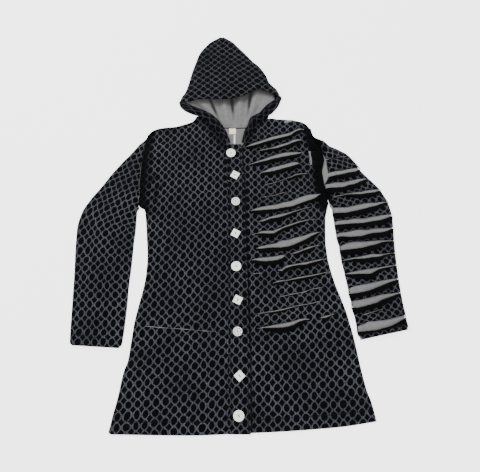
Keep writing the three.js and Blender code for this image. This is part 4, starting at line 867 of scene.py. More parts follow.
def slashed_front():
    columns = Columns(112, False, True)
    start_edge = Table("y x", *zip(BAND_EDGES.y, BAND_EDGES.seam + BAND_LAP + SEAM * 2))
    panel = Ripped(
        "front", columns, start_edge, LEFT_SIDE, SLASHED_TOP,
        lambda up, x, y, span: side_share(up, y, ARMPIT), SLASHED_FOLDS, BAND_COVER, lambda x, y: 0.0,
    )

    panel.plain_rows([(lambda x, up=up: HEM.at("y", x) + up) for up in (*HEM_ROWS, SKIRT_FROM)], -578)
    panel.plain_rows([skirt_row(t) for t in np.linspace(0.015, 1, 60)], -450)

    def top(angle):
        def row(x):
            drop = np.where(x > LEFT_NECK_SIDE - NECK_BLEND, SLASHED_TOP, 2) * (1 - math.cos(angle))
            return LEFT_TOP.at("y", x) - drop

        return row

    panel.strips(FRONT_SLITS, skirt_row(1.0), top(np.pi / 2))
    panel.plain_rows([top(a) for a in SHOULDER_ROLL[1:]], 240)
    face = np.array(panel.points)
    face[..., 2] *= hem_share(face[..., 0], face[..., 1])
    for i, angle in enumerate(SHOULDER_ROLL):
        row = face[len(face) - ROLL_STEPS + i]
        row[:, 2] = np.minimum(row[:, 2], SLASHED_TOP) * shoulder_share(row[:, 0], LEFT_NECK_SIDE, angle)
    cut = print_place(*plan(np.array(panel.cut)))
    opened = panel.opened(np.zeros(len(columns.up) - 1, bool))
    x, y = plan(face)
    # Painted shade in the fold along the left armhole and below the neck, and a painted shadow beside the
    # band's free edge
    tuck = smooth(near_line(x, y, LEFT_ARMHOLE_SHADE, ARMHOLE_SHADE_REACH) * 1.5)
    band_shadow_line = list(zip(BAND_EDGES.free + 2, BAND_EDGES.y))
    tuck = shaded(tuck, x, y, [(band_shadow_line, 7, 0.8), (LEFT_NECK_SHADE, 28, 0.7)])
    return Cloth("front_left_cloth", face, KNIT_SHELL, cut, opened, hem_stitch(x, y), tuck)


def sleeve_row(inner_y, outer_y):
    from_x = float(LEFT_SLEEVE_INNER.at("x", inner_y))
    to_x = float(LEFT_SLEEVE_OUTER.at("x", outer_y))
    return lambda x: mix(inner_y, outer_y, (x - from_x) / (to_x - from_x))


def sleeve_puff(x, y):
    start = LEFT_SLEEVE_INNER.at("x", y) + PUFF_MARGIN
    end = LEFT_SLEEVE_OUTER.at("x", y) - PUFF_MARGIN
    return SLEEVE_PUFF * np.sin(np.pi * np.clip((x - start) / np.maximum(1, end - start), 0, 1)) ** 2


LEFT_SLEEVE_MIDDLE = [
    (222, 222), (262, 150), (300, 80), (325, 10), (338, -60), (344, -140), (352, -230), (366, -350),
]
RIGHT_SLEEVE_MIDDLE = [
    (-262, 215), (-300, 110), (-335, 20), (-360, -60), (-367, -140), (-366, -240), (-365, -380),
]
MIDDLE_STEPS = 160


def sleeve_print(middle, x, y):
    """Place on a sleeve's cloth: its distance from the sleeve's middle line, and how far along that it is."""
    line_x, line_y, length = along_outline(middle, np.linspace(0, 1, MIDDLE_STEPS))
    flat_x, flat_y = x.reshape(-1), y.reshape(-1)
    nearest = np.argmin((flat_x[:, None] - line_x) ** 2 + (flat_y[:, None] - line_y) ** 2, axis=1)
    off_x, off_y = flat_x - line_x[nearest], flat_y - line_y[nearest]
    way = directions(line_x, line_y)[nearest]
    across = off_y * way[:, 0] - off_x * way[:, 1]
    along = nearest / (MIDDLE_STEPS - 1) * length + off_x * way[:, 0] + off_y * way[:, 1]
    return np.stack([across.reshape(x.shape), -along.reshape(x.shape)], -1)


def armhole_edge():
    below = LEFT_SLEEVE_INNER.y < ARMHOLE.y[0]
    ys = np.concatenate([LEFT_SLEEVE_INNER.y[below], ARMHOLE.y])
    return Table("y x", *zip(ys, np.concatenate([LEFT_SLEEVE_INNER.x[below] + SEAM, ARMHOLE.x + 0.1])))


CUFF_CORNER = 14.0


def cuff_row(t):
    """Rows of the cuff, the lowest with its corners worn round."""
    row = sleeve_row(mix(LEFT_CUFF[0], -352, t), mix(LEFT_CUFF[1], -325, t))
    return lambda x: row(x) + corner_lift(x, 303, 432, CUFF_CORNER) * (1 - t)


def slashed_sleeve():
    columns = Columns(78, True, True)

    def share(up, x, y, span):
        return np.where(x < mix(span[0], span[1], 0.5), side_share(up, y, ARMPIT + 6), up)

    panel = Ripped(
        "sleeve", columns, armhole_edge(), LEFT_SLEEVE_OUTER, SLASHED_TOP, share, None, 0.0, sleeve_puff
    )
    panel.plain_rows([cuff_row(t) for t in np.linspace(0, 1, 8)], -350)
    panel.strips(SLEEVE_SLITS, sleeve_row(-352, -325), sleeve_row(*LEFT_SLEEVE_HEAD[0]))
    panel.plain_rows([sleeve_row(*ends) for ends in LEFT_SLEEVE_HEAD[1:]], 210)
    face = np.array(panel.points)
    whole = columns.up[:-1] + columns.up[1:] < 0.8
    x, y = plan(face)
    stitch = y - sleeve_row(*LEFT_CUFF)(x) - CUFF_STITCH * 0.55
    cut = sleeve_print(LEFT_SLEEVE_MIDDLE, *plan(np.array(panel.cut)))
    # Painted shade in the fold along the left armhole
    tuck = smooth(near_line(x, y, LEFT_ARMHOLE_SHADE, ARMHOLE_SHADE_REACH * 0.85) * 1.5)
    return Cloth("sleeve_left_cloth", face, KNIT_SHELL, cut, panel.opened(whole), stitch, tuck)


LINING_GUESS = 300.0  # a place across the sleeve from which the search for its edges starts


def sleeve_lining():
    columns = Columns(40, True, True)
    step = SLASHED_TOP - LINING_TOP + LINING_SLACK
    ys = LEFT_SLEEVE_INNER.y
    inner = Table("y x", *zip(ys, LEFT_SLEEVE_INNER.x + mix(step, 2 * SEAM, smooth((ys - ARMPIT) / 20))))
    outer = LEFT_SLEEVE_OUTER.moved("x", -step * 1.15)
    rows = rows_through(SLEEVE_SLITS, sleeve_row(*LEFT_CUFF), sleeve_row(160, 170), 5)
    rows.append((sleeve_row(172, 180), no_swell))
    face = []
    for row, swell in rows:
        (start_x, end_x), slants = span_between(row, inner, outer, float(row(LINING_GUESS)))
        x = columns.placed(start_x, end_x, LINING_TOP, *slants)
        y = row(x)
        inner_half = x < mix(start_x, end_x, 0.5)
        up = np.where(inner_half, side_share(columns.up, y, ARMPIT + 6), columns.up)
        soft = 0.5 * np.sin(x / 19 + y / 31) + 0.4 * np.sin(y / 12.5 + x / 47)
        soft = (soft + swell(x)) * smooth((x - start_x) / 12) * smooth((end_x - x) / 12)
        puff = np.where(columns.up > ON_TOP, LINING_PUFF_SHARE * sleeve_puff(x, y) + soft, 0)
        face.append(np.stack([x, y, LINING_TOP * up + puff], -1))
    return Cloth("sleeve_left_lining_cloth", np.array(face), FLEECE)


def panel_grid(right, left, bottom, top, rows, across):
    """Points of a flat panel between two sides, given as x over y, and two ends, given as y over x."""
    level, share = np.meshgrid(np.linspace(0, 1, rows), np.linspace(0, 1, across), indexing="ij")
    middle = (right(0.0) + left(0.0)) / 2
    y = mix(bottom(middle), top(middle), level)
    for _ in range(12):
        x = mix(right(y), left(y), share)
        y = mix(y, mix(bottom(x), top(x), level), 0.7)
    return x, y


def front_lining():
    top = Table(
        "x y",
        (-25, 184), (8, 184), (18, 197), (29, 223), (37, 243), (50, 258), (66, 268),
        (84, 275), (118, 277.5), (147, 277.5), (174, 271), (192, 256), (201, 236),
    )
    side = BACK_LEFT_EDGE.moved("x", -np.where(BACK_LEFT_EDGE.y > 16, 3.0, 1.4))
    band_side = Table("y x", (-585, -16), (186, -25))
    skirt = skirt_row(1.0)
    rows = [
        (lambda x, t=t: mix(HEM.at("y", x) + 8, skirt(x), t), no_swell) for t in np.linspace(0, 0.98, 40)
    ]
    rows += rows_through(FRONT_SLITS, skirt, lambda x: top.at("y", x), 4)
    share = np.linspace(0, 1, 100)
    face = []
    for row, swell in rows:
        guess = float(row(100.0))
        x = mix(meeting(row, band_side, guess)[0], meeting(row, side, guess)[0], share)
        y = np.minimum(row(x), top.at("y", x))
        z = LINING_TOP + swell(x) * smooth((x - BAND_COVER + 40) / 20) + 0.12 * np.sin(x / 23 + y / 17)
        face.append(np.stack([x, y, z], -1))
    return Cloth("front_left_lining_cloth", np.array(face), FLEECE)


def under_side(name, x, y, stitch=None):
    """A sheet that rests on the surface, with a few low folds away from its edges."""
    inside = np.ones(x.shape)
    inside[:3], inside[-3:], inside[:, :3], inside[:, -3:] = 0, 0, 0, 0
    z = fold_height(UNDER_FOLDS, x, y) * inside
    return Cloth(name, np.stack([x, y, z], -1), UNDER_SHELL, print_place(x, y), stitch=stitch, facing=-1)


def under_lift(x, y, u):
    return fold_height(UNDER_FOLDS, x, y) * smooth(u * 8) * smooth((1 - u) * 8)


def back_pieces():
    def grid(rows, across):
        return panel_grid(
            lambda y: BACK_RIGHT_EDGE.at("x", y), lambda y: BACK_LEFT_EDGE.at("x", y),
            lambda x: HEM.at("y", x) + 1, lambda x: BACK_TOP_EDGE.at("y", x), rows, across,
        )

    x, y = grid(180, 120)
    back = under_side("back_cloth", x, y, hem_stitch(x, y))
    x, y = grid(120, 80)
    return back, Cloth("back_lining_cloth", np.stack([x, y, BACK_LINING_TOP + 0 * x], -1), FLEECE)


BAND_ENDS = (-582.5, 196)
BAND_EDGE, BAND_EDGE_DROP = 1.6, 1.2
QUILT_LINE, QUILT_REACH, QUILT_DEPTH = 5, 2.2, 0.45
BAND_PRINT = (9.3, 4)  # how far the band's print is shifted from the fronts'


def button_band():
    y = np.linspace(*BAND_ENDS, 200)[:, None]
    u = np.linspace(0, 1, 25)[None, :]
    seam, free = BAND_EDGES.at("seam", y), BAND_EDGES.at("free", y)
    wave = 0.7 * np.sin(y / 37) * smooth((u - 0.6) / 0.4)
    x = mix(seam, free + wave, u)
    width = free - seam
    from_seam, from_free = x - seam, free - x
    from_edge = np.clip(np.minimum(from_seam, from_free) / BAND_EDGE, 0, 1)
    edge_roll = np.sqrt(np.clip(1 - (1 - from_edge) ** 2, 0, 1))
    quilted = [QUILT_DEPTH * bump_at(away, QUILT_LINE, QUILT_REACH) for away in (from_seam, from_free)]
    puckers = 0.22 * np.sin(y / 5.3 + 2 * np.sin(y / 41)) * bump_at(u, 0.5, 0.6)
    z = BAND_TOP - BAND_EDGE_DROP * (1 - edge_roll) + (-quilted[0] - quilted[1]) + puckers
    stitch = np.where(from_seam < width / 2, from_seam, from_free) - QUILT_LINE
    face = np.stack([x, y + 0 * x, z], -1)
    return Cloth("button_band_cloth", face, BAND - 0.3, face[..., :2] + BAND_PRINT, stitch=stitch)


def section_slant(across, before, after):
    edge = (after - before) / np.linalg.norm(after - before)
    return min(WIDEST_SLANT, 1 / max(0.1, abs(across[0] * edge[1] - across[1] * edge[0])))


def sleeve_sections(steps):
    outer = np.stack([RIGHT_SLEEVE.at("outer_x", steps), RIGHT_SLEEVE.at("outer_y", steps)], -1)
    inner = np.stack([RIGHT_SLEEVE.at("inner_x", steps), RIGHT_SLEEVE.at("inner_y", steps)], -1)
    return outer, inner


def plain_sleeve():
    columns = Columns(66, True, True)
    steps = np.linspace(0, 12, 150)
    outer, inner = sleeve_sections(steps)
    face, stitch = [], []
    walked = 0.0
    for r, step in enumerate(steps):
        start, end = outer[r], inner[r]
        length = np.linalg.norm(end - start)
        across = (end - start) / length
        before, after = max(0, r - 1), min(len(steps) - 1, r + 1)
        start_slant = section_slant(across, outer[before], outer[after])
        end_slant = section_slant(across, inner[before], inner[after]) if step > 0.5 else 1.0
        d = columns.placed(0.0, length, PLAIN_TOP, start_slant, end_slant)
        t = d / length
        spot = start[None] + across[None] * d[:, None]
        x, y = spot[:, 0], spot[:, 1]
        y = y + corner_lift(d, 0, length, CUFF_CORNER * 0.7) * smooth((step - 11.5) * 2)
        at_end = columns.share == 1
        up = np.where(at_end, mix(1, columns.up, smooth(step)), columns.up)
        bow = (RIGHT_SIDE.at("x", y) - 0.05 - x) * (1 - smooth(step * 1.4)) if step < 1 else 0
        puff = SLEEVE_PUFF * np.sin(np.pi * t) ** 2 * smooth(step / 2)
        fade = smooth(t * 4) * smooth((1 - t) * 4) * min(1, step)
        lift = fold_height(RIGHT_SLEEVE_FOLDS, x, y) * fade
        z = PLAIN_TOP * up + np.where(columns.up > ON_TOP, np.maximum(puff + lift, 0), 0)
        face.append(np.stack([x + bow, y, z], -1))
        if r:
            walked += np.linalg.norm((outer[r] + inner[r]) / 2 - (outer[r - 1] + inner[r - 1]) / 2)
        stitch.append(np.full(len(d), walked))
    stitch = walked - np.array(stitch) - CUFF_STITCH
    face = np.array(face)
    x, y = plan(face)
    cut = sleeve_print(RIGHT_SLEEVE_MIDDLE, x, y)
    # Painted shade in the fold along the right armhole
    tuck = near_line(x, y, RIGHT_ARMHOLE_SHADE, 9) * 0.8
    return Cloth("sleeve_right_cloth", face, BONDED_SHELL, cut, stitch=stitch, plain=tuck)


UNDER_ARM = 22  # above this height the right sleeve's under half follows the body's seam
BODY_CLEAR = -289.0  # below it, it stays on this side
SECTION_LENGTH = 38.0


def plain_sleeve_under():
    steps = np.linspace(0.35, 12, 110)
    outer, inner = sleeve_sections(steps)
    face, cut = [], []
    for r, step in enumerate(steps):
        across = (inner[r] - outer[r]) / np.linalg.norm(inner[r] - outer[r])
        # Above the armpit the under half reaches the armhole seam
        inner_inset = mix(1.5, BACK_INSET, smooth(step - 0.3))
        start, end = outer[r] + across * BACK_INSET * 1.1, inner[r] - across * inner_inset
        u = np.linspace(0, 1, 44)
        x, y = plan(mix(start[None], end[None], u[:, None]))
        seam = RIGHT_SIDE.at("x", np.clip(y, UNDER_ARM, RIGHT_SIDE.y[-1])) - SEAM
        x = np.minimum(x, np.where(y > UNDER_ARM, seam, BODY_CLEAR))
        face.append(np.stack([x, y, under_lift(x, y, u)], -1))
        length = np.linalg.norm(end - start)
        cut.append(np.stack([(u - 0.5) * length, np.full(len(u), -step * SECTION_LENGTH)], -1))
    return Cloth("sleeve_right_under_cloth", np.array(face), SLEEVE_UNDER_SHELL, np.array(cut), facing=-1)


def slashed_sleeve_under():
    ys = LEFT_SLEEVE_OUTER.y
    outer_inset = np.where(ys < 30, SLASHED_SLEEVE_INSET, SLASHED_SLEEVE_INSET * 1.55)
    outer = LEFT_SLEEVE_OUTER.moved("x", -outer_inset)
    ys = LEFT_SLEEVE_INNER.y
    inner_inset = np.interp(ys, [-8, 4, 32, 45], [SLASHED_SLEEVE_INSET, 18, 6, 0.3])
    inner = LEFT_SLEEVE_INNER.moved("x", inner_inset)
    ends = [(mix(-360, 204, t), mix(-334, 200, t)) for t in np.linspace(0, 1, 110)]
    face = []
    for inner_y, outer_y in ends:
        from_x, to_x = float(inner.at("x", inner_y)), float(outer.at("x", outer_y))
        u = np.linspace(0, 1, 40)
        x = mix(from_x, max(to_x, from_x + 1), u)
        y = mix(inner_y, outer_y, u)
        face.append(np.stack([x, y, under_lift(x, y, u)], -1))
    face = np.array(face)
    cut = sleeve_print(LEFT_SLEEVE_MIDDLE, *plan(face))
    return Cloth("sleeve_left_under_cloth", face, SLEEVE_UNDER_SHELL, cut, facing=-1)


CROWN_PRINT = (0.84, 1.06)  # the hood's print lies wider and flatter


def crown_half(name, outline, opening, side):
    """Half of the hood's crown: rows from its outline to the crown seam, from the tip to the opening."""
    levels = np.concatenate([[0, 0.006, 0.014, 0.024, 0.036], np.linspace(0.05, 1, 96)])
    outer_x, outer_y, walked = along_outline(outline, levels)
    outer_x = outer_x + side * SEAM / 2 * (1 - levels)
    seam_x = mix(CROWN_TOP[0], CROWN_FOOT[0], levels) + side * SEAM / 2 * (1 - levels) * 0.5
    seam_y = mix(CROWN_TOP[1], CROWN_FOOT[1], levels)
    columns = Columns(44, True, False)
    face, cut = [], []
    for r, level in enumerate(levels):
        tip_roll = min(HOOD_ROLL, CROWN_TOP[1] - seam_y[r])
        top_share = math.sin(math.acos(1 - tip_roll / HOOD_ROLL))
        length = max(math.hypot(seam_x[r] - outer_x[r], seam_y[r] - outer_y[r]), 0.6)
        d = columns.placed(0.0, length, HOOD_ROLL)
        t = d / length
        x = mix(outer_x[r], seam_x[r], t)
        bend = (opening.at("y", x) - mix(outline[-1][1], CROWN_FOOT[1], t)) * level**5
        y = mix(outer_y[r], seam_y[r], t) + bend
        rise = CROWN_RISE * smooth(level * 1.1) * np.sin(np.pi / 2 * t) ** 0.8
        up = np.minimum(columns.up, top_share)
        fade = smooth(t * 3) * smooth((1 - level) * 8) * smooth(level * 6)
        seam_dip = -0.6 * bump_at(length - d, 0, 4) * smooth(level * 8)
        z = HOOD_ROLL * up + np.where(columns.up > ON_TOP, rise, 0) * smooth(level * 30)
        z = z + (fold_height(CROWN_FOLDS, x, y) * 0.8 * fade + seam_dip) * (columns.up > ON_TOP)
        face.append(np.stack([x, y, z], -1))
        cut.append(np.stack([(length - d) * side * CROWN_PRINT[0], y * CROWN_PRINT[1]], -1))
    cut = np.array(cut)
    return Cloth(name, np.array(face), CROWN_SHELL, cut, plain=np.full(cut.shape[:2], 0.2), even=1)


# How high the hood's edge stands on its way over from its lip to its foot
EDGE_ROLL = Table("over up", (0, 0), (0.18, 0.75), (0.42, 1), (0.7, 0.86), (0.92, 0.45), (1, 0))
EDGE_OVER = np.array([0, 0.06, 0.18, 0.3, 0.42, 0.56, 0.7, 0.82, 0.92, 0.97, 1.0])
EDGE_CREST = 0.42
EDGE_STEP = 19.0  # length of the edge from one station to the next
EDGE_STITCH = 19.0


def hood_edge(name, stations, side):
    """Rolled edge of the hood's opening, from its free lip over a crest down to its foot."""
    over_up = EDGE_ROLL.at("up", EDGE_OVER)
    face, cut = [], []
    for step in np.linspace(0, 9, 90):
        at_step = (float(stations.at(column, step)) for column in stations.names[1:])
        inner_x, inner_y, foot_x, foot_y, foot, crest = at_step
        start = np.where(EDGE_OVER < EDGE_CREST, min(EDGE_LIP, crest), foot)
        x, y = mix(inner_x, foot_x, EDGE_OVER), mix(inner_y, foot_y, EDGE_OVER)
        pucker = 0.35 * math.sin(step * 9) * over_up * (1 - EDGE_OVER)
        face.append(np.stack([x, y, mix(start, crest, over_up) + pucker], -1))
        width = math.hypot(inner_x - foot_x, inner_y - foot_y)
        cut.append(np.stack([EDGE_OVER * width * side * 1.25, np.full(len(EDGE_OVER), step * EDGE_STEP)], -1))
    cut = np.array(cut)
    stitch = np.abs(cut[..., 0]) - EDGE_STITCH
    return Cloth(name, np.array(face), KNIT_SHELL, cut, stitch=stitch, plain=np.full(cut.shape[:2], 0.5))


def hood_under():
    x, y = panel_grid(
        lambda y: HOOD_BACK_EDGES.at("right", y), lambda y: HOOD_BACK_EDGES.at("left", y),
        lambda x: NECKLINE.at("y", x), lambda x: 576 + 0 * x, 120, 60,
    )
    return under_side("hood_back_cloth", x, y)


LINING_CREASES = Table(
    FOLD,
    (-50, 252, -91, 352, 7.5, -11), (-19, 282, -26, 362, 7, -11), (22, 288, 33, 374, 7.5, -11),
    (-96, 308, -134, 336, 9, -3.6), (40, 300, 74, 346, 10, -3), (-8, 262, -6, 300, 6, -3),
    (-112, 330, -80, 336, 12, 3), (56, 330, 84, 350, 11, 3),
)


LINING_ENDS = (250.5, 450)
NECK_SEAM_SHADOW_EDGE = 255.5  # the painted shadow line of the neck's seam lies below this


def hood_lining():
    u = np.linspace(0, 1, 90)
    face, painted_fleece_shade = [], []
    for row_y in np.linspace(*LINING_ENDS, 130):
        x = mix(HOOD_LINING.at("right", row_y), HOOD_LINING.at("left", row_y), u)
        sides = (HOOD_LINING.at("sides", row_y) - BACK_LINING_TOP) * np.abs(2 * u - 1) ** 6
        fade = smooth(u * 5) * smooth((1 - u) * 5)
        fade = fade * smooth((LINING_ENDS[1] - row_y) / 60) * smooth((row_y - NECKLINE_LOW) / 14)
        y = row_y + (NECKLINE.at("y", x) - NECKLINE_LOW) * (1 - smooth((row_y - 252) / 45))
        folds = fold_height(LINING_FOLDS, x, y) + fold_height(LINING_CREASES, x, y)
        face.append(np.stack([x, y, BACK_LINING_TOP + sides + np.maximum(folds * fade, 0)], -1))
        # Painted shade: the fleece darkens in its deep creases, most near the crown, with a painted shadow
        # under the crown's edge and a painted shadow line along the neck seam
        deep = -np.minimum(fold_height(LINING_CREASES, x, y), 0) / 10
        from_crown = np.where(x < CROWN_FOOT[0], OPENING_RIGHT.at("y", x), OPENING_LEFT.at("y", x)) - y
        shade = deep * (0.45 + 1.5 * smooth(1 - from_crown / 50))
        shade = shade + 0.5 * smooth(1 - from_crown / 16) * smooth((x + 100) / 60)
        neck_seam_shadow = 0.85 * smooth((NECK_SEAM_SHADOW_EDGE - row_y) / 3)
        painted_fleece_shade.append(np.clip(np.maximum(shade, neck_seam_shadow), 0, 0.97))
    return Cloth("hood_lining_cloth", np.array(face), FLEECE - 0.2, plain=np.array(painted_fleece_shade))


LABEL = {"x": -22, "y": 242, "width": 20, "height": 19, "thickness": 0.5}
LOOP = {"x": -16, "y": 215, "width": 4.8, "height": 30, "thickness": 0.6}
PATCH_STITCH = 1.2


def small_patch(name, size, cup):
    """A woven label or ribbon, sewn down at its ends and slightly cupped between them."""
    v, u = np.meshgrid(np.linspace(-0.5, 0.5, 21), np.linspace(-0.5, 0.5, 17), indexing="ij")
    width, height, thickness = size["width"], size["height"], size["thickness"]
    across, along = u * width, v * height
    z = FRONT_FOOT + thickness + cup * (1 - (2 * u) ** 2) * (1 - (2 * v) ** 4)
    stitch = np.minimum(width / 2 - np.abs(across), height / 2 - np.abs(along)) - PATCH_STITCH
    face = np.stack([size["x"] + across, size["y"] + along, z], -1)
    return Cloth(name, face, thickness, np.stack([across, along], -1), stitch=stitch)


# Lining behind a narrow slit: width, how far its sides dive under the cloth, lowest point and thickness
SLIVER, SLIVER_DROP, SLIVER_FOOT, SLIVER_THICK = 11.0, 2.4, 0.6, 0.5


def height_over(cloth_points):
    """Reads a cloth's height at any place from its points."""
    points = cloth_points.reshape(-1, 3)

    def height(x, y):
        near = [np.hypot(points[:, 0] - a, points[:, 1] - b) for a, b in zip(x, y)]
        return np.array([points[n < max(2.5, n.min() + 0.1), 2].max() for n in near])

    return height


def lining_sliver(name, path, height):
    """A strip of lining behind a narrow slit: a path of x, y and how much of it stands out of the cloth."""
    steps = np.linspace(0, 1, 60)
    path = np.array(path, float)
    walked = walked_along(path[:, :2])
    x, y, shown = (read_line(walked / walked[-1], path[:, i], steps) for i in range(3))
    u = np.linspace(-1, 1, 21)
    face = []
    for mid_x, mid_y, (way_x, way_y), bare in zip(x, y, directions(x, y), shown):
        px = mid_x - way_y * u * SLIVER / 2
        py = mid_y + way_x * u * SLIVER / 2
        pz = height(px, py) + SLIVER_DROP * ((bare / SLIVER) ** 2 - u**2)
        face.append(np.stack([px, py, np.maximum(pz, SLIVER_FOOT)], -1))
    return Cloth(name, np.array(face), SLIVER_THICK)


# Shader maths


class Shader:
    """One material's nodes. node() adds any node; Value does sums on its sockets."""

    def __init__(self, name, **fixed):
        self.material = bpy.data.materials.new(name)
        self.material.use_nodes = True
        self.tree = self.material.node_tree
        self.tree.nodes.clear()
        self.surface = self.tree.nodes.new("ShaderNodeBsdfPrincipled")
        output = self.tree.nodes.new("ShaderNodeOutputMaterial")
        self.tree.links.new(self.surface.outputs[0], output.inputs[0])
        for socket, value in fixed.items():
            self.surface.inputs[socket.replace("_", " ")].default_value = value

    def node(self, kind, settings=None, output=0, **inputs):
        made = self.tree.nodes.new(kind)
        for name, value in (settings or {}).items():
            setattr(made, name, value)
        for name, value in inputs.items():
            self.feed(made.inputs[int(name[1:]) if name[1:].isdigit() else name.replace("_", " ")], value)
        return Value(self, made.outputs[output])

    def mark(self, name):
        """One of the numbers that the cloth's corners carry."""
        return self.node("ShaderNodeAttribute", {"attribute_name": name}, output=2)

    def feed(self, socket, value):
        if isinstance(value, Value):
            self.tree.links.new(value.socket, socket)
        else:
            socket.default_value = value

    def sum(self, operation, *values):
        inputs = {f"i{i}": value for i, value in enumerate(values)}
        return self.node("ShaderNodeMath", {"operation": operation}, **inputs)

    def cut_place(self):
        """Place on the cloth before it was sewn, in millimetres: across it and along it."""
        uv = self.node("ShaderNodeUVMap", {"uv_map": "cut"})
        parts = self.tree.nodes.new("ShaderNodeSeparateXYZ")
        self.tree.links.new(uv.socket, parts.inputs[0])
        return Value(self, parts.outputs[0]) * 1000, Value(self, parts.outputs[1]) * 1000

    def noise(self, scale, detail=2.0, roughness=0.5, vector=None):
        at = self.node("ShaderNodeTexCoord", output=3) if vector is None else vector
        return self.node("ShaderNodeTexNoise", Vector=at, Scale=scale, Detail=detail, Roughness=roughness)

    def blend(self, share, one, other):
        made = self.tree.nodes.new("ShaderNodeMix")
        made.data_type = "RGBA"
        self.feed(made.inputs[0], share)
        self.feed(made.inputs[6], one if isinstance(one, Value) else (*one, 1))
        self.feed(made.inputs[7], other if isinstance(other, Value) else (*other, 1))
        return Value(self, made.outputs[2])

    def bump(self, height, distance, strength=1.0):
        made = self.node("ShaderNodeBump", Height=height, Distance=distance, Strength=strength)
        self.feed(self.surface.inputs["Normal"], made)

    def finish(self, **sockets):
        for name, value in sockets.items():
            self.feed(self.surface.inputs[name.replace("_", " ")], value)
        return self.material


class Value:
    """A shader value that sums can be written with."""

    def __init__(self, shader, socket):
        self.shader, self.socket = shader, socket

    def __add__(self, other):
        return self.shader.sum("ADD", self, other)

    def __sub__(self, other):
        return self.shader.sum("SUBTRACT", self, other)

    def __rsub__(self, other):
        return self.shader.sum("SUBTRACT", other, self)

    def __mul__(self, other):
        return self.shader.sum("MULTIPLY", self, other)

    def __truediv__(self, other):
        return self.shader.sum("DIVIDE", self, other)

    __radd__, __rmul__ = __add__, __mul__

    def size(self):
        return self.shader.sum("ABSOLUTE", self)

    def root(self):
        return self.shader.sum("SQRT", self)

    def wave(self):
        return self.shader.sum("SINE", self)

    def repeated(self, length):
        """Distance from the middle of the nearest repeat."""
        return self.shader.sum("WRAP", self, length / 2, -length / 2)

    def between(self, low, high):
        """0 below low and 1 above high, soft between."""
        return self.shader.node(
            "ShaderNodeMapRange", {"interpolation_type": "SMOOTHSTEP"}, Value=self, From_Min=low, From_Max=high
        )


# The print: ovals and small diamonds left dark in a grey lattice, in millimetres
PRINT_WIDTH, PRINT_HEIGHT = 21.2, 24.0
OVAL = (6.7, 8.8)
DIAMOND = (6.8, 8.4)
GROUND = (0.0008, 0.0009, 0.0015)
LINE = (0.100, 0.104, 0.124)
STITCH_LENGTH = 3.4
RIB_PITCH, LOOP_PITCH = 1.15, 1.6
DRIFT = 9.0


def knit_bump(shader, across, along):
    """Fine ribs of a knit with rows of loops across them."""
    rib = (across * (2 * math.pi / RIB_PITCH)).wave()
    loop = (along * (2 * math.pi / LOOP_PITCH) + rib * 1.2).wave()
    return rib * 0.5 + loop * 0.35


def stitching(shader, along_line, away):
    """Threads of a line of stitching and the groove that they pull in the cloth."""
    dash = 1 - along_line.repeated(STITCH_LENGTH).size().between(STITCH_LENGTH * 0.34, STITCH_LENGTH * 0.44)
    thread = (1 - away.size().between(0.25, 0.55)) * dash
    groove = 1 - away.size().between(0.5, 2.4)
    return thread, groove


def printed_knit():
    shader = Shader("printed_knit", Sheen_Weight=0.012, Sheen_Roughness=0.6, Specular_IOR_Level=0.02)
    across, along = shader.cut_place()
    drift = shader.noise(26.0, 1.0)
    wobble = shader.noise(150.0, 2.0)
    u = across + (drift - 0.5) * DRIFT + (wobble - 0.5) * 1.6
    v = along + (shader.noise(31.0, 1.0) - 0.5) * DRIFT + (wobble - 0.5) * 1.3
    near_u, near_v = u.repeated(PRINT_WIDTH), v.repeated(PRINT_HEIGHT)
    mid_u = (u + PRINT_WIDTH / 2).repeated(PRINT_WIDTH)
    mid_v = (v + PRINT_HEIGHT / 2).repeated(PRINT_HEIGHT)
    even = shader.mark("even")
    round_u, round_v = near_u / (even * 0.3 + OVAL[0]), near_v / (even * -0.6 + OVAL[1])
    oval = (round_u * round_u + round_v * round_v).root()
    diamond = mid_u.size() / (even * 0.9 + DIAMOND[0]) + mid_v.size() / (even * 0.5 + DIAMOND[1])
    line = oval.between(0.95, 1.2) * diamond.between(0.92, 1.24)
    # Short bars where two ovals come near each other, and a stem between one and the next above it
    bars = (1 - mid_u.size().between(1.8, 3.4)) * (1 - (near_v.size() - 1.5).size().between(0.4, 1.0))
    stem = (1 - near_u.size().between(0.5, 1.3)) * (1 - mid_v.size().between(2.2, 3.8))
    line = line * (1 - bars * 0.5) * (1 - stem * 0.55)
    wear = shader.noise(9.0, 3.0, 0.6).between(0.28, 0.72)
    fleck = shader.noise(1400.0, 2.0, 0.7).between(0.25, 0.8)
    # Painted shade: the darkening mark takes the print and lint away in folds and shadows; on the hood it gives
    # a fainter print
    print_fade_and_painted_shade = shader.mark("plain")
    rubbed = shader.noise(230.0, 2.0, 0.7).between(0.32, 0.66)
    ink = line * (wear * 0.45 + 0.6) * (fleck * 0.4 + 0.6) * (rubbed * 0.62 + 0.5) * (1 - print_fade_and_painted_shade)
    lint = shader.noise(420.0, 3.0, 0.7).between(0.42, 0.8)
    ground = shader.blend(lint * (1 - print_fade_and_painted_shade * 0.5), GROUND, (0.0062, 0.0064, 0.0074))
    colour = shader.blend(ink, ground, LINE)
    away = shader.mark("stitch")
    thread, groove = stitching(shader, across, away)
    # Painted shade in the groove that stitching pulls, darkening to the knit's ground colour
    colour = shader.blend(groove * 0.55, colour, GROUND)
    colour = shader.blend(thread * 0.8, colour, (0.012, 0.0125, 0.015))
    height = knit_bump(shader, across, along) + fleck * 0.5 + line * 0.25 - groove * 3.0 + thread * 1.6
    shader.bump(height, 0.00022, 0.8)
    return shader.finish(Base_Color=colour, Roughness=0.9 - line * 0.08)


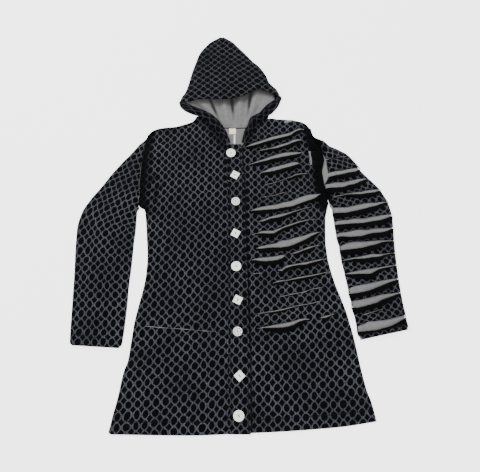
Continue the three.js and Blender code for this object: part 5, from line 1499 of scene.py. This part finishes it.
def knit_reverse():
    shader = Shader("knit_reverse", Sheen_Weight=0.01, Sheen_Roughness=0.7, Specular_IOR_Level=0.02)
    across, along = shader.cut_place()
    fleck = shader.noise(900.0, 3.0, 0.7)
    cloud = shader.noise(18.0, 2.0)
    uneven = fleck.between(0.3, 0.8) * 0.6 + cloud * 0.3
    colour = shader.blend(uneven, (0.0007, 0.0007, 0.0008), (0.0026, 0.0026, 0.0029))
    shader.bump(knit_bump(shader, across, along) + fleck * 1.4, 0.0003, 0.8)
    return shader.finish(Base_Color=colour, Roughness=0.88 + fleck * 0.1)


def grey_fleece():
    shader = Shader("grey_fleece", Sheen_Weight=0.35, Sheen_Roughness=0.5, Specular_IOR_Level=0.1)
    nap = shader.noise(520.0, 4.0, 0.7)
    tuft = shader.noise(120.0, 3.0, 0.6)
    cloud = shader.noise(14.0, 2.0)
    uneven = tuft.between(0.3, 0.75) * 0.6 + nap * 0.4
    colour = shader.blend(uneven, (0.128, 0.124, 0.127), (0.196, 0.191, 0.194))
    colour = shader.blend(cloud.between(0.3, 0.7) * 0.3, colour, (0.142, 0.137, 0.139))
    away = shader.mark("stitch")
    across, _ = shader.cut_place()
    thread, groove = stitching(shader, across, away)
    # Painted shade in the groove that stitching pulls
    colour = shader.blend(groove * 0.6, colour, (0.05, 0.048, 0.05))
    # Painted shade from the darkening mark: creases, under the crown's edge and along the neck seam
    painted_fleece_shade = shader.mark("plain")
    colour = shader.blend(painted_fleece_shade, colour, (0.022, 0.018, 0.017))
    shader.bump(nap * 1.2 + tuft * 2.2 - groove * 2, 0.0005, 0.7)
    return shader.finish(Base_Color=colour, Roughness=0.93 - nap * 0.05)


def bone(name, tint):
    """A bone button's nodes: its colour, and places from its middle for what is carved on it."""
    glow = {"Subsurface_Weight": 0.05, "Subsurface_Radius": (0.004, 0.003, 0.002)}
    shader = Shader(name, Coat_Weight=0.25, Coat_Roughness=0.25, **glow)
    grain = shader.noise(260.0, 4.0, 0.65)
    cloud = shader.noise(60.0, 2.0)
    colour = shader.blend(grain.between(0.35, 0.75) * 0.5 + cloud * 0.4, tint, tuple(c * 0.9 for c in tint))
    across, along = shader.cut_place()
    away = (across * across + along * along).root()
    # Painted shadow of the thread: the bone darkens under and just around it, between the two holes
    slot = (1 - across.size().between(0.6, 1.2)) * (1 - along.size().between(2.2, 3.2))
    colour = shader.blend(slot * 0.85, colour, (0.03, 0.026, 0.022))
    shader.bump(grain, 0.0001, 0.5)
    return shader, colour, across, along, away


def plain_bone():
    shader, colour, _, _, away = bone("bone_button", (0.95, 0.945, 0.92))
    rim = away.between(11.5, 14.5)
    colour = shader.blend(rim * 0.25, colour, (0.70, 0.66, 0.58))
    return shader.finish(Base_Color=colour, Roughness=0.34)


def carved_bone():
    shader, colour, across, along, away = bone("carved_bone_button", (0.95, 0.94, 0.91))
    turn = shader.sum("ARCTAN2", along, across) * (180 / math.pi)
    ring = 1 - (away - CARVING_RADIUS).size().between(1.3, 2.0)
    dash = 1 - turn.repeated(360 / CARVINGS).size().between(11.0, 14.0)
    colour = shader.blend(ring * dash * 0.92, colour, (0.028, 0.022, 0.018))
    dots = 1 - (away - 3.9).size().between(0.3, 0.7)
    colour = shader.blend(dots * 0.45, colour, (0.16, 0.13, 0.1))
    return shader.finish(Base_Color=colour, Roughness=0.4)


def woven(name, light, dark, threads):
    """A close plain weave for labels and ribbons."""
    shader = Shader(name, Specular_IOR_Level=0.3)
    across, along = shader.cut_place()
    weave = (across * (2 * math.pi * threads)).wave() * (along * (2 * math.pi * threads)).wave()
    cloud = shader.noise(160.0, 2.0)
    away = shader.mark("stitch")
    thread, groove = stitching(shader, across + along, away)
    colour = shader.blend(weave.between(-0.6, 0.8) * 0.5 + cloud * 0.3, dark, light)
    colour = shader.blend(thread * 0.7, colour, tuple(c * 0.6 for c in dark))
    shader.bump(weave * 0.6 - groove, 0.00012, 0.7)
    return shader.finish(Base_Color=colour, Roughness=0.82 - weave * 0.04)


def thread_cotton():
    shader = Shader("thread_cotton", Sheen_Weight=0.1)
    at = shader.node("ShaderNodeTexCoord", output=3)
    bands = {"bands_direction": "DIAGONAL"}
    twist = shader.node("ShaderNodeTexWave", bands, Vector=at, Scale=900.0, Distortion=1.0)
    colour = shader.blend(twist, (0.006, 0.006, 0.007), (0.022, 0.021, 0.022))
    shader.bump(twist, 0.0001, 0.8)
    return shader.finish(Base_Color=colour, Roughness=0.7 + twist * 0.1)


def table_top():
    shader = Shader("table_top", Emission_Strength=2.2, Specular_IOR_Level=0.1)
    cloud = shader.noise(3.0, 2.0)
    colour = shader.blend(cloud, (0.93, 0.93, 0.93), (0.95, 0.95, 0.95))
    return shader.finish(Base_Color=colour, Emission_Color=colour, Roughness=0.9)


# Buttons

BUTTONS = Table(
    "number x y turn",
    (1, -26, 167, 20), (2, -14, 97, 60), (3, -12, 16, 0), (4, -12, -78, -27), (5, -10, -170, 70),
    (6, -6, -260, -27), (7, -6, -341, 10), (8, -1, -449, 43), (9, -3, -541, 35),
)
BUTTON_SHAPES = ["round", "square", "carved", "square", "round", "square", "carved", "square", "round"]
# Width across, width of the rim and depth of the dish inside it
BUTTON_SIZES = {"round": (26.4, 2.6, 0.9), "square": (20.8, 2.2, 0.35), "carved": (23.4, 2.6, 0.9)}
BUTTON_THICK = 3.4
HOLE = 2.2
HOLE_PITCH = 5.0
CARVING_RADIUS = 8.0
CARVINGS = 8
PIT = (2.1, 3.2, 1.9)
THREAD_RADIUS = 0.42


def only(thing):
    bpy.ops.object.select_all(action="DESELECT")
    thing.select_set(True)
    bpy.context.view_layer.objects.active = thing


def pick_faces(thing, test):
    """Selects the faces that pass a test on their centre and normal, in edit mode."""
    bpy.ops.object.mode_set(mode="EDIT")
    bpy.ops.mesh.select_mode(type="FACE")
    bpy.ops.mesh.select_all(action="DESELECT")
    bpy.ops.object.mode_set(mode="OBJECT")
    for face in thing.data.polygons:
        face.select = test(face.center, face.normal)
    bpy.ops.object.mode_set(mode="EDIT")


def apply_modifier(thing, kind, **settings):
    only(thing)
    modifier = thing.modifiers.new(kind.title(), kind)
    for name, value in settings.items():
        setattr(modifier, name, value)
    bpy.ops.object.modifier_apply(modifier=modifier.name)


def round_edges(thing, width, segments, angle):
    """Rounds the edges that are sharper than an angle in degrees."""
    limit = {"limit_method": "ANGLE", "angle_limit": math.radians(angle)}
    apply_modifier(thing, "BEVEL", width=width * MM, segments=segments, **limit)


def cutter(x, y, radius, depth_from, depth_to):
    place = (x * MM, y * MM, (depth_from + depth_to) / 2 * MM)
    depth = (depth_to - depth_from) * MM
    bpy.ops.mesh.primitive_cylinder_add(vertices=20, radius=radius * MM, depth=depth, location=place)
    return bpy.context.object


def bore(thing, tool):
    apply_modifier(thing, "BOOLEAN", operation="DIFFERENCE", solver="EXACT", object=tool)
    bpy.data.objects.remove(tool, do_unlink=True)


def button_blank(shape):
    """A button lying at the origin: dished round or flat square, with its edges worn round and two holes."""
    across, rim, dish = BUTTON_SIZES[shape]
    bpy.ops.object.select_all(action="DESELECT")
    half = BUTTON_THICK / 2 * MM
    if shape == "square":
        bpy.ops.mesh.primitive_cube_add(size=1, location=(0, 0, half))
        blank = bpy.context.object
        blank.scale = (across * MM, across * MM, BUTTON_THICK * MM)
        bpy.ops.object.transform_apply(location=False, rotation=False, scale=True)
    else:
        radius = across / 2 * MM
        bpy.ops.mesh.primitive_cylinder_add(vertices=64, radius=radius, depth=2 * half, location=(0, 0, half))
        blank = bpy.context.object
    bpy.ops.object.transform_apply(location=True, rotation=False, scale=False)
    pick_faces(blank, lambda centre, normal: normal.z > 0.9)
    bpy.ops.mesh.inset(thickness=rim * MM, depth=0)
    bpy.ops.mesh.inset(thickness=1.4 * MM, depth=-dish * MM)
    bpy.ops.object.mode_set(mode="OBJECT")
    round_edges(blank, 0.85, 3, 50)
    if shape == "carved":
        for i in range(CARVINGS):
            a = 2 * math.pi * i / CARVINGS
            place = (CARVING_RADIUS * math.cos(a) * MM, CARVING_RADIUS * math.sin(a) * MM, 3.3 * MM)
            bpy.ops.mesh.primitive_cube_add(size=1, location=place)
            pit = bpy.context.object
            pit.scale = tuple(size * MM for size in PIT)
            pit.rotation_euler[2] = a
            bore(blank, pit)
    for side in (-1, 1):
        bore(blank, cutter(0, side * HOLE_PITCH / 2, HOLE / 2, -1, 6))
    apply_modifier(blank, "WELD", merge_threshold=1e-6)
    return blank


def lay_down(thing, name, x, y, z, turn):
    """Turns a piece about its own middle, lays it at its place and leaves its object at the origin."""
    only(thing)
    thing.rotation_euler[2] = math.radians(turn)
    thing.location = ((x + TABLE_TO_ROW[0]) * MM, (y + TABLE_TO_ROW[1]) * MM, z * MM)
    bpy.ops.object.transform_apply(location=True, rotation=True, scale=True)
    thing.name = name
    thing.data.name = name
    return thing


def centred_cut(thing):
    """The place on a button from its own middle, for its pattern."""
    layer = thing.data.uv_layers.new(name="cut")
    for loop in thing.data.loops:
        co = thing.data.vertices[loop.vertex_index].co
        layer.data[loop.index].uv = (co.x, co.y)


def button_thread(shape):
    """Two turns of thread between a button's holes."""
    top = BUTTON_THICK - BUTTON_SIZES[shape][2]
    parts = []
    for side in (-THREAD_RADIUS, THREAD_RADIUS):
        bpy.ops.object.select_all(action="DESELECT")
        bpy.ops.mesh.primitive_cylinder_add(
            vertices=12, radius=THREAD_RADIUS * MM, depth=(HOLE_PITCH + 0.9) * MM,
            location=(side * MM, 0, (top + 0.25) * MM), rotation=(math.pi / 2, 0, 0),
        )
        strand = bpy.context.object
        bpy.ops.object.transform_apply(location=True, rotation=True, scale=True)
        pick_faces(strand, lambda centre, normal: abs(normal.y) > 0.9)
        bpy.ops.mesh.extrude_region_move(TRANSFORM_OT_translate={"value": (0, 0, -1.6 * MM)})
        bpy.ops.object.mode_set(mode="OBJECT")
        parts.append(strand)
    bpy.ops.object.select_all(action="DESELECT")
    for part in parts:
        part.select_set(True)
    bpy.context.view_layer.objects.active = parts[0]
    bpy.ops.object.join()
    round_edges(parts[0], 0.18, 2, 40)
    return parts[0]


def copy_of(thing):
    made = thing.copy()
    made.data = thing.data.copy()
    bpy.context.scene.collection.objects.link(made)
    return made


def sew_buttons(materials, thread):
    blanks = {}
    for shape in BUTTON_SIZES:
        blanks[shape] = button_blank(shape), button_thread(shape)
        centred_cut(blanks[shape][0])
        centred_cut(blanks[shape][1])
    for shape, (number, x, y, turn) in zip(BUTTON_SHAPES, BUTTONS.rows()):
        body, strands = (copy_of(part) for part in blanks[shape])
        node = f"button_{int(number)}"
        lay_down(body, node + "_bone", x, y, BUTTON_FOOT, turn)
        lay_down(strands, node + "_thread", x, y, BUTTON_FOOT, turn)
        body.data.materials.append(materials[shape])
        strands.data.materials.append(thread)
        for thing in (body, strands):
            only(thing)
            bpy.ops.object.shade_smooth_by_angle(angle=math.radians(35))
            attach(thing, "root")
        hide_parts(node)
    for parts in blanks.values():
        for part in parts:
            bpy.data.objects.remove(part, do_unlink=True)


# The coat, put together

# Lines of lining that show through a narrow slit: place, and how wide it shows there
POCKET_MOUTH = [(-266, -327, 0.6), (-236, -328, 1.3), (-202, -331, 1.6), (-172, -333, 0.7), (-142, -335, 1.5),
                (-118, -337, 0.5), (-90, -339.5, 1.1), (-60, -341, 0.4)]
SHOULDER_SLIT = [(130, 270.5, 0.5), (137, 273, 5.2), (145, 275.2, 6.6), (152, 276.6, 4.6), (158, 277.4, 0.5)]
UPRIGHT_SLIT = [(200.5, 172, 0.5), (201, 160, 1.7), (202, 148, 2.6), (202.5, 137, 1.9), (202.5, 129, 0.5)]


def over_plain_front(x, y):
    start_x = RIGHT_SIDE.at("x", y)
    full = fullness(x - start_x, 60 + 0 * x, y - HEM.at("y", x))
    return PLAIN_TOP + np.maximum(full + fold_height(PLAIN_FOLDS, x, y) * smooth((x - start_x) / 40), 0)


knit, reverse, fleece = printed_knit(), knit_reverse(), grey_fleece()
label_cloth = woven("label_cloth", (0.93, 0.90, 0.66), (0.80, 0.76, 0.52), 1.4)
ribbon = woven("ribbon", (0.94, 0.94, 0.95), (0.74, 0.74, 0.76), 1.2)

# What a piece shows outside, inside and on its cut edge, and a material name for it
single = (knit, reverse, knit, "printed_knit")
slashed = (knit, reverse, reverse, "printed_knit")
bonded = (knit, fleece, knit, "printed_knit")
napped = (fleece, fleece, fleece, "grey_fleece")
label_look = (label_cloth, label_cloth, label_cloth, "label_cloth")
ribbon_look = (ribbon, ribbon, ribbon, "label_cloth")

back, back_lining = back_pieces()
back.dress(single, "back", (0.61, 0.86), 0.48, ["table_top"])
back_lining.dress(napped, "back_lining", (0.61, 0.86), 0.48, ["back_cloth"])
plain_front().dress(single, "front_right", (0.31, 0.87), 0.22, ["back_lining_cloth"])
pocket_mouth = lining_sliver("pocket_mouth_lining", POCKET_MOUTH, over_plain_front)
pocket_mouth.dress(napped, None, (0.207, 0.011), None, ["back_lining_cloth"])
front_lining().dress(napped, "front_left_lining", (0.33, 0.86), 0.22, ["back_lining_cloth"])
front_left = slashed_front()
front_left.dress(slashed, "front_left_slashed", (0.34, 0.87), 0.22, ["front_left_lining_cloth"])
for slit_name, slit_path, slit_length in (("upright", UPRIGHT_SLIT, 0.043), ("shoulder", SHOULDER_SLIT, 0.029)):
    sliver = lining_sliver(slit_name + "_slit_lining", slit_path, height_over(front_left.face))
    sliver.dress(napped, None, (slit_length, 0.011), None, ["front_left_lining_cloth"])
button_band().dress(single, "button_band", (0.055, 0.78), None, ["front_left_cloth", "front_right_cloth"])
plain_sleeve_under().dress(bonded, "sleeve_right_under", (0.19, 0.60), 0.075, ["table_top"])
plain_sleeve().dress(bonded, "sleeve_right_upper", (0.20, 0.62), 0.085, ["sleeve_right_under_cloth"])
slashed_sleeve_under().dress(bonded, "sleeve_left_under", (0.19, 0.58), 0.07, ["table_top"])
sleeve_lining().dress(napped, "sleeve_left_lining", (0.18, 0.56), 0.078, ["sleeve_left_under_cloth"])
slashed_sleeve().dress(slashed, "sleeve_left_slashed", (0.20, 0.60), 0.085, ["sleeve_left_lining_cloth"])
hood_under().dress(single, "hood_back", (0.29, 0.34), 0.06, ["table_top"])
hood_lining().dress(napped, "hood_lining", (0.28, 0.22), 0.045, ["hood_back_cloth"])
right_crown = crown_half("hood_right_crown_cloth", HOOD_RIGHT_OUTLINE, OPENING_RIGHT, -1)
right_crown.dress(bonded, "hood_right_crown", (0.14, 0.27), 0.026, ["hood_lining_cloth"])
left_crown = crown_half("hood_left_crown_cloth", HOOD_LEFT_OUTLINE, OPENING_LEFT, 1)
left_crown.dress(bonded, "hood_left_crown", (0.18, 0.27), 0.028, ["hood_lining_cloth"])
right_edge = hood_edge("hood_right_edge_cloth", EDGE_RIGHT, -1)
right_edge.dress(single, "hood_right_edge", (0.03, 0.20), None, ["front_right_cloth"])
left_edge = hood_edge("hood_left_edge_cloth", EDGE_LEFT, 1)
left_edge.dress(single, "hood_left_edge", (0.03, 0.20), None, ["front_left_cloth"])
label = small_patch("label_piece", LABEL, 0.5)
label.dress(label_look, "label", (0.02, 0.019), None, ["back_lining_cloth"])
loop = small_patch("label_loop_piece", LOOP, 0.8)
loop.dress(ribbon_look, "label_loop", (0.01, 0.03), 0.000144, ["back_lining_cloth"])
sew_buttons({"round": plain_bone(), "square": plain_bone(), "carved": carved_bone()}, thread_cotton())

# The camera stands over the hem and looks a little towards the hood
CAMERA_PLACE = (0.0, -508.0, 1237.2)
CAMERA_TILT = 19.0
SENSOR, LENS = 36, 36
camera_data = bpy.data.cameras.new("camera")
camera_data.sensor_width, camera_data.lens, camera_data.sensor_fit = SENSOR, LENS, "HORIZONTAL"
camera = bpy.data.objects.new("camera", camera_data)
camera.location = tuple((np.array(CAMERA_PLACE) + TABLE_TO_ROW) * MM)
camera.rotation_euler = (math.radians(CAMERA_TILT), 0, 0)
bpy.context.scene.collection.objects.link(camera)
bpy.context.scene.camera = camera

bpy.ops.object.select_all(action="DESELECT")
bpy.ops.mesh.primitive_plane_add(size=14, location=(0, 0, 0))
floor = bpy.context.object
floor.name = "table_top"
floor.data.materials.append(table_top())

ROOM_LIGHT = 1.4


def soft_light(name, place, turn, size, power):
    """A square lamp: place and size in metres, its turn about x and y in degrees, power in watts."""
    data = bpy.data.lights.new(name, "AREA")
    data.size, data.energy = size, power
    lamp = bpy.data.objects.new(name, data)
    lamp.location, lamp.rotation_euler = place, (math.radians(turn[0]), math.radians(turn[1]), 0)
    bpy.context.scene.collection.objects.link(lamp)


soft_light("window", (-1.3, 1.5, 2.2), (-34, -30), 1.6, 58)
soft_light("fill", (1.6, -1.2, 2.4), (28, 32), 2.2, 22)
world = bpy.data.worlds.new("room")
world.use_nodes = True
background = world.node_tree.nodes["Background"]
background.inputs["Color"].default_value = (1, 1, 1, 1)
background.inputs["Strength"].default_value = ROOM_LIGHT
bpy.context.scene.world = world
